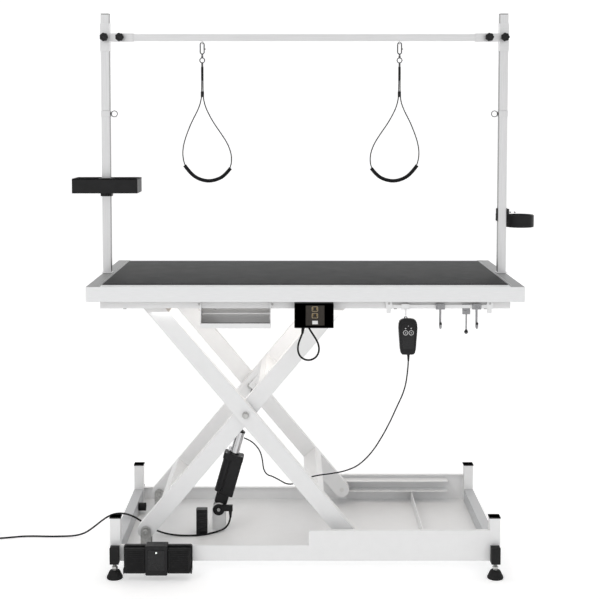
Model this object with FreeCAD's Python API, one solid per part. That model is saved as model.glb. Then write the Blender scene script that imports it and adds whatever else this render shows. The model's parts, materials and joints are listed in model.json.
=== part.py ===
import FreeCAD, Part
import math
import os

# Electric grooming table: a scissor lift under a matted top, with an overhead arm.
# +X is right, +Y is back, +Z is up. The origin is on the floor under the middle of the top.
# All sizes are in millimetres.

# ---- driving dimensions -------------------------------------------------------------------
TABLE_W = 1250.0
TABLE_D = 650.0
MAT_TOP = 860.0
MAT_THICK = 6.0
BOARD_THICK = 14.0
EDGE_SHEET = 3.0
EDGE_HEIGHT = 43.0
FLANGE_W = 40.0

FRAME_X = 589.0            # half length of the steel frame under the board
FRAME_Y = 295.0            # half width of that frame
FRAME_TUBE = 25.0
FRAME_BOTTOM = 791.0

PIVOT_X = -475.0           # fixed pivots, one above the other at the left
PIVOT_LOW = 106.0
PIVOT_HIGH = 822.0
ARM_ANGLE = math.radians(50.0)
ARM_WIDE = 50.0
ARM_THICK = 30.0
ARM_WALL = 2.5
END_REACH = 16.5            # how far an arm's upper end may stand above its pin
INNER_LANE = (165.0, 195.0)
OUTER_LANE = (200.0, 230.0)
PIN_R = 6.0
RUN_GAP = 0.05             # radial clearance of a running pin
MOVE_GAP = 0.3             # clearance between sliding faces

POST_X = 612.5             # overhead posts
POST_SIDE = 25.0
POST_WALL = 1.5
POST_SPLIT = 1360.0
PIN_Z = 1350.0
FRAME_LIFT = 120.0
POST_TOP = 1655.0
BAR_Z = 1584.0
BAR_SIDE = 20.6

CORNER_X = 554.0           # corner posts of the base
CORNER_Y = 268.0
CORNER_SIDE = 30.0
CORNER_TOP = 172.0
CAP_TOP = 175.0
BASE_BOTTOM = 46.0
BASE_LOW = 92.0
BASE_HIGH = 136.0
BASE_SHEET = 4.0
STEP_X = 11.0              # where the base's front and rear walls step up

ACT_X = -268.0             # lower pivot of the linear actuator
ACT_Z = 114.0
ROD_ALONG = 512.0          # rod pin, along the inner arm from its lower pivot
ROD_ABOVE = 14.0           # rod pin, above that arm's centre line

POWER_D = 5.5
HAND_D = 4.0
OUTLET_D = 5.5
NOOSE_D = 3.4

BOARD_BOTTOM = MAT_TOP - MAT_THICK - BOARD_THICK
RIM_TOP = MAT_TOP - MAT_THICK + EDGE_SHEET
EDGE_BOTTOM = RIM_TOP - EDGE_HEIGHT
ARM_LENGTH = (PIVOT_HIGH - PIVOT_LOW) / math.sin(ARM_ANGLE)
ARM_RUN = ARM_LENGTH * math.cos(ARM_ANGLE)
CENTRE_X = PIVOT_X + ARM_RUN / 2
CENTRE_Z = (PIVOT_LOW + PIVOT_HIGH) / 2
ROLLER_X = PIVOT_X + ARM_RUN

UP = FreeCAD.Vector(0, 0, 1)
BACK = FreeCAD.Vector(0, 1, 0)
RIGHT = FreeCAD.Vector(1, 0, 0)


# ---- helpers ------------------------------------------------------------------------------
def block(x0, x1, y0, y1, z0, z1):
    """A box between two corners."""
    low = FreeCAD.Vector(min(x0, x1), min(y0, y1), min(z0, z1))
    return Part.makeBox(abs(x1 - x0), abs(y1 - y0), abs(z1 - z0), low)


def rod(start, end, radius):
    """A round bar between two points."""
    start = FreeCAD.Vector(*start)
    along = FreeCAD.Vector(*end) - start
    return Part.makeCylinder(radius, along.Length, start, along)


def ring(centre, axis, big, small):
    """A torus."""
    return Part.makeTorus(big, small, FreeCAD.Vector(*centre), axis)


def both_sides(shape):
    """A shape and its copy mirrored front to back."""
    return [shape, shape.mirror(FreeCAD.Vector(0, 0, 0), BACK)]


def left_right(shape):
    """A shape and its copy mirrored left to right."""
    return [shape, shape.mirror(FreeCAD.Vector(0, 0, 0), RIGHT)]


def fuse(shapes):
    """One solid from several that touch."""
    first = shapes[0]
    return first.multiFuse(shapes[1:]).removeSplitter()


def prism_xz(points, y0, y1):
    """A flat outline in X and Z, drawn out along Y."""
    corners = [FreeCAD.Vector(x, y0, z) for x, z in points]
    face = Part.Face(Part.makePolygon(corners + corners[:1]))
    return face.extrude(FreeCAD.Vector(0, y1 - y0, 0))


def edges_along(shape, axis):
    """The straight edges of a shape that run along an axis."""
    found = []
    for edge in shape.Edges:
        if isinstance(edge.Curve, Part.Line) and edge.tangentAt(edge.FirstParameter).cross(axis).Length < 1e-6:
            found.append(edge)
    return found


def save(name, shapes):
    """Write one sub-part: a single solid, or a group of separate ones."""
    solids = []
    for shape in shapes if isinstance(shapes, list) else [shapes]:
        solids += shape.Solids
    whole = solids[0] if len(solids) == 1 else Part.makeCompound(solids)
    for solid in solids:
        if not solid.isValid():
            print("INVALID", name)
    box = whole.BoundBox
    print("%-22s %2d solids  x %.1f %.1f  y %.1f %.1f  z %.1f %.1f" % (
        name, len(solids), box.XMin, box.XMax, box.YMin, box.YMax, box.ZMin, box.ZMax))
    whole.exportStep("parts/%s.step" % name)


def cord_tube(name, points, diameter):
    """A tube of straight runs joined by tangent arcs; prints its tightest arc and its volume."""
    route = [FreeCAD.Vector(*point) for point in points]
    edges = []
    radii = []
    start = route[0]
    for before, corner, after in zip(route, route[1:], route[2:]):
        inward = (corner - before).normalize()
        outward = (after - corner).normalize()
        turn = inward.getAngle(outward)
        reach = 0.45 * min((corner - before).Length, (after - corner).Length)
        radius = reach / math.tan(turn / 2)
        radii.append(radius)
        arc_start = corner - inward * reach
        arc_end = corner + outward * reach
        bisector = (outward - inward).normalize()
        arc_middle = corner + bisector * (radius / math.cos(turn / 2) - radius)
        edges.append(Part.LineSegment(start, arc_start).toShape())
        edges.append(Part.Arc(arc_start, arc_middle, arc_end).toShape())
        start = arc_end
    edges.append(Part.LineSegment(start, route[-1]).toShape())
    path = Part.Wire(edges)
    section = Part.Wire(Part.makeCircle(diameter / 2, route[0], route[1] - route[0]))
    tube = path.makePipeShell([section], True, True)
    expected = math.pi * diameter ** 2 / 4 * path.Length
    print("%-22s length %.0f  tightest %.1f (%.1f diameters)  volume ratio %.4f" % (
        name, path.Length, min(radii), min(radii) / diameter, tube.Volume / expected))
    print("    radii", " ".join("%.0f" % radius for radius in radii))
    return tube


# ---- base ---------------------------------------------------------------------------------
def base_wall(front):
    """A folded sheet wall, low at the left and high at the right, with a lip along its top."""
    outer = -CORNER_Y - CORNER_SIDE / 2
    inner = outer + BASE_SHEET
    half = CORNER_X - CORNER_SIDE / 2
    low = block(-half, STEP_X, outer, inner, BASE_BOTTOM, BASE_LOW)
    high = block(STEP_X, half, outer, inner, BASE_BOTTOM, BASE_HIGH)
    low_lip = block(-half, STEP_X, outer, inner + 8, BASE_LOW - 3, BASE_LOW)
    high_lip = block(STEP_X, half, outer, inner + 8, BASE_HIGH - 3, BASE_HIGH)
    wall = fuse([low, high, low_lip, high_lip])
    return wall if front else wall.mirror(FreeCAD.Vector(0, 0, 0), BACK)


def make_base():
    half = CORNER_X - CORNER_SIDE / 2
    depth = CORNER_Y + CORNER_SIDE / 2 - BASE_SHEET
    floor = block(-half, half, -depth, depth, BASE_BOTTOM, BASE_BOTTOM + BASE_SHEET)
    divider = block(360, 363, -depth, depth, BASE_BOTTOM + BASE_SHEET, 85)
    save("base_floor", [floor, divider])
    save("base_walls", [base_wall(True), base_wall(False)])

    rail = block(-CORNER_X - 15, -CORNER_X + 15, -CORNER_Y + 15, CORNER_Y - 15, BASE_BOTTOM, BASE_LOW)
    hollow = block(-CORNER_X - 12.5, -CORNER_X + 12.5, -CORNER_Y + 15, CORNER_Y - 15,
                   BASE_BOTTOM + 2.5, BASE_LOW - 2.5)
    save("base_side_rails", left_right(rail.cut(hollow)))

    posts = []
    caps = []
    sleeves = []
    feet = []
    for sx in (-1, 1):
        for sy in (-1, 1):
            x = sx * CORNER_X
            y = sy * CORNER_Y
            post = block(x - 15, x + 15, y - 15, y + 15, BASE_BOTTOM, CORNER_TOP)
            bore = block(x - 12.5, x + 12.5, y - 12.5, y + 12.5, BASE_BOTTOM, CORNER_TOP)
            posts.append(post.cut(bore))
            head = block(x - 16.5, x + 16.5, y - 16.5, y + 16.5, CORNER_TOP, CAP_TOP + 5)
            head = head.common(block(x - 16.5, x + 16.5, y - 16.5, y + 16.5, CORNER_TOP, CAP_TOP))
            plug = block(x - 12, x + 12, y - 12, y + 12, CORNER_TOP - 14, CORNER_TOP)
            caps.append(fuse([head, plug]))
            foot_y = sy * (CORNER_Y + 15 + 13)
            sleeve = block(x - 13, x + 13, foot_y - 13, foot_y + 13, 44, 92)
            nut_seat = rod((x, foot_y, 30), (x, foot_y, 93), PIN_R + RUN_GAP)
            sleeves.append(sleeve.cut(nut_seat))
            pad = Part.makeCone(23.5, 15, 24, FreeCAD.Vector(x, foot_y, 0), UP)
            stem = rod((x, foot_y, 22), (x, foot_y, 80), PIN_R)
            nut = Part.Face(Part.makePolygon([
                FreeCAD.Vector(x + 9 * math.cos(k * math.pi / 3), foot_y + 9 * math.sin(k * math.pi / 3), 29)
                for k in range(7)])).extrude(UP * 7)
            feet.append(fuse([pad, stem, nut]))
    bumper = rod((-CORNER_X + 15, 130, 72), (-CORNER_X + 39, 130, 72), 13)
    caps.append(bumper)
    save("corner_posts", posts)
    save("rubber_caps", caps)
    save("leg_sleeves", sleeves)
    save("levelling_feet", feet)


def pivot_plate(x, y0, y1, z_foot, z_pin, radius):
    """An upright lug with a round top and a pin hole."""
    plate = block(x - radius, x + radius, y0, y1, z_foot, z_pin)
    top = rod((x, y0, z_pin), (x, y1, z_pin), radius)
    return fuse([plate, top])


def make_pivots():
    floor = BASE_BOTTOM + BASE_SHEET
    near, far = INNER_LANE
    lugs = pivot_plate(PIVOT_X, -far - 8, -far - 3, floor, PIVOT_LOW, 15)
    inside = pivot_plate(PIVOT_X, -near + 3, -near + 8, floor, PIVOT_LOW, 15)
    foot = block(PIVOT_X - 15, PIVOT_X + 15, -far - 8, -near + 8, floor, floor + 4)
    pin = rod((PIVOT_X, -far - 14, PIVOT_LOW), (PIVOT_X, -near + 12, PIVOT_LOW), PIN_R)
    save("lower_pivots", both_sides(fuse([lugs, inside, foot, pin])))

    near, far = OUTER_LANE
    lugs = pivot_plate(PIVOT_X, -far - 7, -far - 3, BOARD_BOTTOM, PIVOT_HIGH, 15)
    inside = pivot_plate(PIVOT_X, -near + 3, -near + 7, BOARD_BOTTOM, PIVOT_HIGH, 15)
    pin = rod((PIVOT_X, -far - 12, PIVOT_HIGH), (PIVOT_X, -near + 7, PIVOT_HIGH), PIN_R)
    cross = block(PIVOT_X - 60, PIVOT_X - 30, -far - 7, -near + 7, BOARD_BOTTOM - 3, BOARD_BOTTOM)
    web_out = block(PIVOT_X - 60, PIVOT_X, -far - 7, -far - 3, PIVOT_HIGH, BOARD_BOTTOM)
    web_in = block(PIVOT_X - 60, PIVOT_X, -near + 3, -near + 7, PIVOT_HIGH, BOARD_BOTTOM)
    save("upper_pivots", both_sides(fuse([lugs, inside, pin, cross, web_out, web_in])))


def track(y_web, y_open, z_centre, length):
    """A channel that a roller of radius 14.7 runs in, open towards y_open."""
    x0 = ROLLER_X - 18
    x1 = x0 + length
    web = block(x0, x1, y_web, y_web + math.copysign(3, y_open - y_web), z_centre - 18, z_centre + 18)
    top = block(x0, x1, y_web, y_open, z_centre + 15, z_centre + 18)
    bottom = block(x0, x1, y_web, y_open, z_centre - 18, z_centre - 15)
    return fuse([web, top, bottom])


def make_tracks():
    wall = CORNER_Y + CORNER_SIDE / 2 - BASE_SHEET
    save("lower_tracks", both_sides(track(-wall, -236, PIVOT_LOW, 375)))
    upper = track(-140, -163, PIVOT_HIGH, 375)
    save("upper_tracks", both_sides(upper))


# ---- scissor ------------------------------------------------------------------------------
def arm_box(foot_x, foot_z, lean, s0, s1, n0, n1, y0, y1):
    """A box in an arm's own frame: s along the arm from its left end, n square to it, upwards."""
    box = block(s0, s1, y0, y1, n0, n1)
    box.rotate(FreeCAD.Vector(0, 0, 0), BACK, -math.degrees(lean))
    box.translate(FreeCAD.Vector(foot_x, 0, foot_z))
    return box


def upper_end_relief(pivot_x, side):
    """What an arm's upper end loses, so that it clears the board from fully raised to fully lowered."""
    cuts = []
    for turn in (0, 15, 30, 44):
        above = block(-160, 160, -240, -160, END_REACH, 90)
        above.rotate(FreeCAD.Vector(0, 0, 0), BACK, side * turn)
        above.translate(FreeCAD.Vector(pivot_x, 0, PIVOT_HIGH))
        cuts.append(above)
    return cuts


def arm_tube(foot_x, foot_z, lean, lane):
    """A rectangular tube with round solid ends and holes for its end pins and its middle bolt."""
    y0, y1 = -lane[1], -lane[0]
    half = ARM_WIDE / 2
    body = arm_box(foot_x, foot_z, lean, 0, ARM_LENGTH, -half, half, y0, y1)
    end_x = foot_x + ARM_LENGTH * math.cos(lean)
    end_z = foot_z + ARM_LENGTH * math.sin(lean)
    left = rod((foot_x, y0, foot_z), (foot_x, y1, foot_z), half)
    right = rod((end_x, y0, end_z), (end_x, y1, end_z), half)
    hollow = arm_box(foot_x, foot_z, lean, 90, ARM_LENGTH - 90, -half + ARM_WALL, half - ARM_WALL,
                     y0 + ARM_WALL, y1 - ARM_WALL)
    arm = fuse([body, left, right]).cut(hollow)
    relief = upper_end_relief(end_x, -1) if lean > 0 else upper_end_relief(foot_x, 1)
    for above in relief:
        arm = arm.cut(above)
    for x, z, radius in ((foot_x, foot_z, PIN_R), (end_x, end_z, 7.0), (CENTRE_X, CENTRE_Z, PIN_R)):
        arm = arm.cut(rod((x, y0 - 1, z), (x, y1 + 1, z), radius + RUN_GAP))
    return arm


def cross_tube(foot_x, foot_z, lean, s0, s1, reach):
    """A tube welded across between two arms."""
    half = ARM_WIDE / 2
    outside = arm_box(foot_x, foot_z, lean, s0, s1, -half, half, -reach, reach)
    inside = arm_box(foot_x, foot_z, lean, s0 + ARM_WALL, s1 - ARM_WALL,
                     -half + ARM_WALL, half - ARM_WALL, -reach, reach)
    return outside.cut(inside)


def rod_pin_point():
    """Where the actuator's rod ends, in X and Z."""
    cosine = math.cos(ARM_ANGLE)
    sine = math.sin(ARM_ANGLE)
    x = PIVOT_X + ROD_ALONG * cosine - ROD_ABOVE * sine
    z = PIVOT_LOW + ROD_ALONG * sine + ROD_ABOVE * cosine
    return x, z


def make_scissor():
    inner = [arm_tube(PIVOT_X, PIVOT_LOW, ARM_ANGLE, INNER_LANE)]
    inner.append(inner[0].mirror(FreeCAD.Vector(0, 0, 0), BACK))
    inner.append(cross_tube(PIVOT_X, PIVOT_LOW, ARM_ANGLE, 100, 130, INNER_LANE[0]))
    upper = cross_tube(PIVOT_X, PIVOT_LOW, ARM_ANGLE, 552, 582, INNER_LANE[0])
    ears = []
    for y0, y1 in ((-16, -11), (11, 16)):
        ears.append(arm_box(PIVOT_X, PIVOT_LOW, ARM_ANGLE, 498, 552, 0, 25, y0, y1))
    pin_x, pin_z = rod_pin_point()
    studs = [rod((pin_x, -22, pin_z), (pin_x, -11.2, pin_z), 5),
             rod((pin_x, 11.2, pin_z), (pin_x, 22, pin_z), 5)]
    inner.append(fuse([upper] + ears + studs))
    save("inner_arm_frame", inner)

    outer = [arm_tube(PIVOT_X, PIVOT_HIGH, -ARM_ANGLE, OUTER_LANE)]
    outer.append(outer[0].mirror(FreeCAD.Vector(0, 0, 0), BACK))
    outer.append(cross_tube(PIVOT_X, PIVOT_HIGH, -ARM_ANGLE, 72, 102, OUTER_LANE[0]))
    outer.append(cross_tube(PIVOT_X, PIVOT_HIGH, -ARM_ANGLE, 768, 798, OUTER_LANE[0]))
    save("outer_arm_frame", outer)

    shank = rod((CENTRE_X, -231, CENTRE_Z), (CENTRE_X, -156, CENTRE_Z), PIN_R)
    head = rod((CENTRE_X, -237, CENTRE_Z), (CENTRE_X, -230.4, CENTRE_Z), 10)
    nut = rod((CENTRE_X, -164.6, CENTRE_Z), (CENTRE_X, -156, CENTRE_Z), 10)
    washer = rod((CENTRE_X, -199.6, CENTRE_Z), (CENTRE_X, -195.4, CENTRE_Z), 13)
    save("centre_bolts", both_sides(fuse([shank, head, nut, washer])))

    axle = rod((ROLLER_X, -262, PIVOT_LOW), (ROLLER_X, -198, PIVOT_LOW), 7)
    wheel = rod((ROLLER_X, -262, PIVOT_LOW), (ROLLER_X, -238, PIVOT_LOW), 14.7)
    save("lower_rollers", both_sides(fuse([axle, wheel])))
    axle = rod((ROLLER_X, -197, PIVOT_HIGH), (ROLLER_X, -145, PIVOT_HIGH), 7)
    wheel = rod((ROLLER_X, -162, PIVOT_HIGH), (ROLLER_X, -145, PIVOT_HIGH), 14.7)
    save("upper_rollers", both_sides(fuse([axle, wheel])))


# ---- actuator -----------------------------------------------------------------------------
def make_actuator():
    pin_x, pin_z = rod_pin_point()
    along = FreeCAD.Vector(pin_x - ACT_X, 0, pin_z - ACT_Z)
    reach = along.Length
    lean = math.degrees(math.atan2(along.z, along.x))

    def place(shape):
        """Turn a shape drawn along +X from the lower pivot into the actuator's direction."""
        shape.rotate(FreeCAD.Vector(0, 0, 0), BACK, -lean)
        shape.translate(FreeCAD.Vector(ACT_X, 0, ACT_Z))
        return shape

    floor = BASE_BOTTOM + BASE_SHEET
    plates = []
    for y0, y1 in ((-25.5, -20.5), (20.5, 25.5)):
        plates.append(pivot_plate(ACT_X, y0, y1, floor, ACT_Z, 20))
    plates.append(block(ACT_X - 20, ACT_X + 20, -25.5, 25.5, floor, floor + 4))
    plates.append(rod((ACT_X, -31, ACT_Z), (ACT_X, 31, ACT_Z), 5))
    save("actuator_bracket", fuse(plates))

    eye = rod((0, -19.5, 0), (0, 19.5, 0), 18)
    neck = block(0, 50, -15, 15, -13, 13)
    clevis = fuse([eye, neck]).cut(rod((0, -20, 0), (0, 20, 0), 5 + RUN_GAP))
    motor = block(46, 168, -22, 22, -30, 8)
    motor = motor.makeFillet(6, edges_along(motor, RIGHT))
    screw_tube = rod((50, 0, 12), (168, 0, 12), 17)
    collar = block(164, 178, -24, 24, -31, 31)
    collar = collar.makeFillet(7, edges_along(collar, RIGHT))
    bore = rod((80, 0, 0), (179, 0, 0), 6)
    housing = fuse([clevis, motor, screw_tube, collar]).cut(bore)
    save("actuator_housing", place(housing))

    tube = fuse([rod((178, 0, 0), (246, 0, 0), 14), rod((246, 0, 0), (250, 0, 0), 15.5),
                 rod((178, 0, 17), (196, 0, 17), 4)])
    save("actuator_tube", place(tube.cut(rod((177, 0, 0), (251, 0, 0), 6))))

    stroke_rod = rod((190, 0, 0), (reach - 6, 0, 0), 5.6)
    rod_eye = rod((reach, -9, 0), (reach, 9, 0), 11)
    save("actuator_rod", place(fuse([stroke_rod, rod_eye])))

    module = block(-335, -301, -72, -46, floor, 128)
    module = module.makeFillet(4, edges_along(module, UP))
    lug = block(-330, -306, -46, -40, floor + 20, 110)
    gland = fuse([block(ACT_X + 8, ACT_X + 44, -37, -25.5, 112, 130),
                  Part.makeCone(4.2, 5.6, 14, FreeCAD.Vector(POWER_X, POWER_Y, 98), UP)])
    gland = gland.cut(rod((POWER_X, POWER_Y, 90), (POWER_X, POWER_Y, 112), POWER_D / 2))
    save("junction_box", [fuse([module, lug]), gland])


# ---- cords --------------------------------------------------------------------------------
POWER_X = -231.0
POWER_Y = -31.2
POWER_ROUTE = [
    (POWER_X, POWER_Y, 112), (POWER_X, POWER_Y, 96), (-233, -32.5, 80), (-240, -36, 66), (-252, -43, 57),
    (-269, -52, 53.5), (-287, -66, 53), (-306, -80, 53), (-340, -89, 53), (-385, -88, 53), (-425, -80, 55),
    (-460, -68, 62), (-493, -54, 76), (-522, -42, 92), (-550, -32, 101), (-582, -22, 102), (-612, -10, 90),
    (-640, 4, 68), (-668, 18, 42), (-698, 32, 18), (-732, 42, 6), (-770, 46, 3.2), (-812, 44, 3.2),
    (-860, 48, 3.2), (-900, 46, 3.2), (-935, 36, 3.2), (-962, 29, 3.2), (-986, 26.3, 3.2)]
COIL_CENTRE = (-1012.0, 62.0)
COIL_R = 31.0

HAND_ROUTE = [
    (296, -310, 661), (296, -310, 640), (294, -310, 612), (289, -309, 572), (279, -307, 540), (265, -304, 509),
    (248, -299, 468), (228, -291, 425), (197, -276, 368), (158, -256, 321), (117, -233, 297),
    (74, -212, 283), (38, -196, 274), (4, -186, 262), (-26, -172, 242), (-52, -158, 234), (-76, -142, 243),
    (-98, -126, 250), (-115, -108, 249), (-126, -94, 262), (-129, -84, 288), (-136, -70, 311),
    (-152, -48, 326), (-170, -26, 334), (-188, -14, 338)]

OUTLET_ROUTE = [
    (-5.6, -308, 739), (-8, -308, 722), (-14, -308, 706), (-20, -307.5, 690), (-21.5, -307, 673),
    (-17.3, -306.5, 657.5), (-6, -306, 646.2), (9.5, -305, 642), (25, -304.5, 646.2), (36.3, -304, 657.5),
    (40.5, -303, 673), (38, -302, 689), (30.5, -300, 704), (21, -298, 718), (12, -295, 732), (5, -290, 748),
    (1, -285.5, 766), (-1, -283, 780), (-2, -282.5, 791)]


def make_cords():
    save("power_cord", cord_tube("power_cord", POWER_ROUTE, POWER_D))
    x, y = COIL_CENTRE
    half = 1.5 * POWER_D
    outside = Part.makeCylinder(COIL_R + half, 2 * half, FreeCAD.Vector(x, y, 0.3), UP)
    inside = Part.makeCylinder(COIL_R - half, 2 * half + 2, FreeCAD.Vector(x, y, -0.5), UP)
    save("power_coil", outside.cut(inside))
    plug_x = x - COIL_R - POWER_D
    body = block(plug_x - 13, plug_x + 13, y + 36, y + 74, 0.4, 22.4)
    body = body.makeFillet(5, edges_along(body, BACK))
    pieces = [body]
    for dx in (-6.5, 6.5):
        pieces.append(block(plug_x + dx - 0.8, plug_x + dx + 0.8, y + 72, y + 92, 9, 15.5))
    save("power_plug", fuse(pieces))
    save("hand_cord", cord_tube("hand_cord", HAND_ROUTE, HAND_D))
    save("outlet_cord", cord_tube("outlet_cord", OUTLET_ROUTE, OUTLET_D))


# ---- table top ----------------------------------------------------------------------------
def make_top():
    half_w = TABLE_W / 2
    half_d = TABLE_D / 2
    skin = EDGE_SHEET
    wall = block(-half_w, half_w, -half_d, half_d, EDGE_BOTTOM, RIM_TOP).cut(
        block(-half_w + skin, half_w - skin, -half_d + skin, half_d - skin, EDGE_BOTTOM - 1, RIM_TOP + 1))
    flange = block(-half_w, half_w, -half_d, half_d, RIM_TOP - skin, RIM_TOP).cut(
        block(-half_w + FLANGE_W, half_w - FLANGE_W, -half_d + FLANGE_W, half_d - FLANGE_W, 0, 1000))
    lip = block(-half_w, half_w, -half_d, half_d, EDGE_BOTTOM, EDGE_BOTTOM + skin).cut(
        block(-half_w + 14, half_w - 14, -half_d + 14, half_d - 14, 0, 1000))
    groove = block(-half_w + 31, half_w - 31, -half_d + 31, half_d - 31, RIM_TOP - 0.9, RIM_TOP + 1).cut(
        block(-half_w + 33, half_w - 33, -half_d + 33, half_d - 33, 0, 1000))
    trim = fuse([wall, flange, lip]).cut(groove)
    stud_holes = [rod((sx * POST_X, 0, 800), (sx * POST_X, 0, 870), 6.2) for sx in (-1, 1)]
    for hole in stud_holes:
        trim = trim.cut(hole)
    reach = half_d - 20
    front = Part.Face(Part.makePolygon([FreeCAD.Vector(x, y, 800) for x, y in (
        (-half_w, -half_d), (half_w, -half_d), (half_w - reach, -half_d + reach),
        (-half_w + reach, -half_d + reach), (-half_w, -half_d))])).extrude(UP * 100)
    side = Part.Face(Part.makePolygon([FreeCAD.Vector(x, y, 800) for x, y in (
        (-half_w, -half_d), (-half_w + reach, -half_d + reach), (-half_w + reach, half_d - reach),
        (-half_w, half_d), (-half_w, -half_d))])).extrude(UP * 100)
    save("edge_trim", both_sides(trim.common(front)) + left_right(trim.common(side)))

    board = block(-half_w + skin, half_w - skin, -half_d + skin, half_d - skin,
                  BOARD_BOTTOM, BOARD_BOTTOM + BOARD_THICK)
    for hole in stud_holes:
        board = board.cut(hole)
    save("table_board", board)
    inset = FLANGE_W + 0.5
    mat = block(-half_w + inset, half_w - inset, -half_d + inset, half_d - inset, MAT_TOP - MAT_THICK, MAT_TOP)
    save("rubber_mat", mat)

    rails = []
    long_rail = block(-FRAME_X, FRAME_X, -FRAME_Y, -FRAME_Y + FRAME_TUBE, FRAME_BOTTOM, BOARD_BOTTOM)
    long_rail = long_rail.cut(block(-FRAME_X, FRAME_X, -FRAME_Y + 2.5, -FRAME_Y + FRAME_TUBE - 2.5,
                                    FRAME_BOTTOM + 2.5, BOARD_BOTTOM - 2.5))
    rails += both_sides(long_rail)
    end = FRAME_Y - FRAME_TUBE
    short_rail = block(-FRAME_X, -FRAME_X + FRAME_TUBE, -end, end, FRAME_BOTTOM, BOARD_BOTTOM)
    short_rail = short_rail.cut(block(-FRAME_X + 2.5, -FRAME_X + FRAME_TUBE - 2.5, -end, end,
                                      FRAME_BOTTOM + 2.5, BOARD_BOTTOM - 2.5))
    rails += left_right(short_rail)
    save("under_frame", rails)


def make_accessories():
    x0, x1, y0, y1, z0 = -300.0, -99.0, -322.0, -246.0, 738.0
    tray = [block(x0, x1, y0, y1, z0, z0 + 2), block(x0, x1, y1 - 2, y1, z0, FRAME_BOTTOM - 0.5),
            block(x0, x1, y0, y0 + 2, z0, z0 + 14)]
    for x in (x0, x1 - 2):
        tray.append(block(x, x + 2, y0 + 10, y1, z0, FRAME_BOTTOM - 0.5))
        tray.append(block(x, x + 2, y0 + 10, -FRAME_Y, z0, 811))
        side = x - 10 if x == x0 else x
        tray.append(block(side, side + 12, -FRAME_Y - 2, -FRAME_Y, 795, 811))
    save("accessory_tray", fuse(tray))

    x0, x1, y0, y1, z0, z1 = -31.0, 81.0, -325.0, -295.0, 739.0, 811.0
    box = block(x0, x1, y0, y1, z0, z1)
    box = box.makeFillet(2, edges_along(box, BACK))
    hollow = block(x0 + 3, x1 - 3, y0 + 3, y1 - 3, z0 + 3, z1 - 3)
    window = block(1, 55, y0 - 1, y0 + 4, 746, 804)
    save("outlet_box", box.cut(hollow).cut(window))
    insert = block(1.2, 54.8, y0 + 1.5, y0 + 12, 746.2, 803.8)
    insert = insert.cut(block(19.5, 36.5, y0, y0 + 7, 749.5, 760.5))
    for z in (775, 794):
        for dx in (-6, 5):
            insert = insert.cut(block(28 + dx - 1, 28 + dx + 1, y0, y0 + 8, z - 4, z + 4))
        insert = insert.cut(rod((28, y0, z - 8), (28, y0 + 8, z - 8), 2.2))
    save("outlet_insert", insert)
    rocker = prism_xz([(20, 750), (36, 750), (36, 760), (20, 760)], y0 + 0.5, y0 + 5)
    save("outlet_rocker", rocker)

    rail_y0, rail_y1 = -306.0, -303.0
    rail = [block(231, 538, rail_y0, rail_y1, 793, 803)]
    for x in (231.0, 520.0):
        rail.append(block(x, x + 18, rail_y0 - 2, -FRAME_Y, 791.5, 812))
        rail.append(block(x + 3, x + 14, rail_y0 - 1, -FRAME_Y - 2, 779, 793))
    rail = fuse(rail)
    for x in (240.0, 529.0):
        rail = rail.cut(rod((x, -320, 807), (x, -290, 807), 2))
    first = fuse([block(275.5, 298.5, rail_y0 - 4, rail_y1 + 4, 790, 806),
                  rod((287.5, -310, 792), (287.5, -310, 773.9), 2.4),
                  ring((287.5, -310, 770.2), RIGHT, 3.2, 1.1)])
    first = first.cut(block(270, 300, rail_y0, rail_y1, 793, 803))
    save("hook_rail", [rail, first])

    def slot(x):
        gap = MOVE_GAP
        return block(x - 20, x + 20, rail_y0 - gap, rail_y1 + gap, 793 - gap, 803 + gap)

    for name, x in (("hook_2", 387.0), ("hook_3", 491.0)):
        clip = block(x - 13, x + 13, rail_y0 - 4, rail_y1 + 4, 790, 806)
        stem = rod((x, -305, 790), (x, -305, 744), 3.2)
        bend = ring((x, -311.5, 744), RIGHT, 6.5, 3.2).common(block(x - 9, x + 9, -324, -300, 730, 744))
        tip = rod((x, -318, 744), (x, -318, 752), 3.2)
        save(name, fuse([clip, stem, bend, tip]).cut(slot(x)))
    x = 461.5
    clip = block(x - 11, x + 11, rail_y0 - 3, rail_y1 + 3, 776, 805)
    clip = clip.cut(block(x - 12, x + 12, rail_y0 - 5, rail_y0 - MOVE_GAP, 787, 806))
    stem = rod((x, -306, 777), (x, -306, 728), 2.2)
    ball = Part.makeSphere(5.4, FreeCAD.Vector(x, -306, 725))
    save("hook_4", fuse([clip, stem, ball]).cut(slot(x)))


def make_hand_control():
    outline = [(267.5, 752), (267, 740), (269, 718), (271.5, 672), (273, 661), (314.5, 661),
               (316, 672), (318.5, 718), (320.5, 740), (320, 752), (311, 764), (276.5, 764)]
    shell = prism_xz(outline, -322, -298)
    shell = shell.makeFillet(3, [edge for edge in shell.Edges
                                 if abs(edge.BoundBox.YMax - edge.BoundBox.YMin) < 0.01])
    strap = ring((287.5, -310, 765.5), BACK, 4.2, 1.4)
    buttons = []
    for x in (286.5, 302.5):
        shell = shell.cut(rod((x, -323, 725), (x, -316, 725), 5.6))
        bezel = rod((x, -322.8, 725), (x, -321, 725), 7.2).cut(rod((x, -324, 725), (x, -320, 725), 5.6))
        shell = shell.fuse(bezel)
        buttons.append(rod((x, -323.6, 725), (x, -318, 725), 5.3))
    save("hand_control", fuse([shell, strap]))
    save("button_up", buttons[0])
    save("button_down", buttons[1])


# ---- overhead arm -------------------------------------------------------------------------
def square_tube(x, side, wall, z0, z1):
    """An upright square tube."""
    half = side / 2
    inner = half - wall
    return block(x - half, x + half, -half, half, z0, z1).cut(
        block(x - inner, x + inner, -inner, inner, z0 - 1, z1 + 1))


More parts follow.
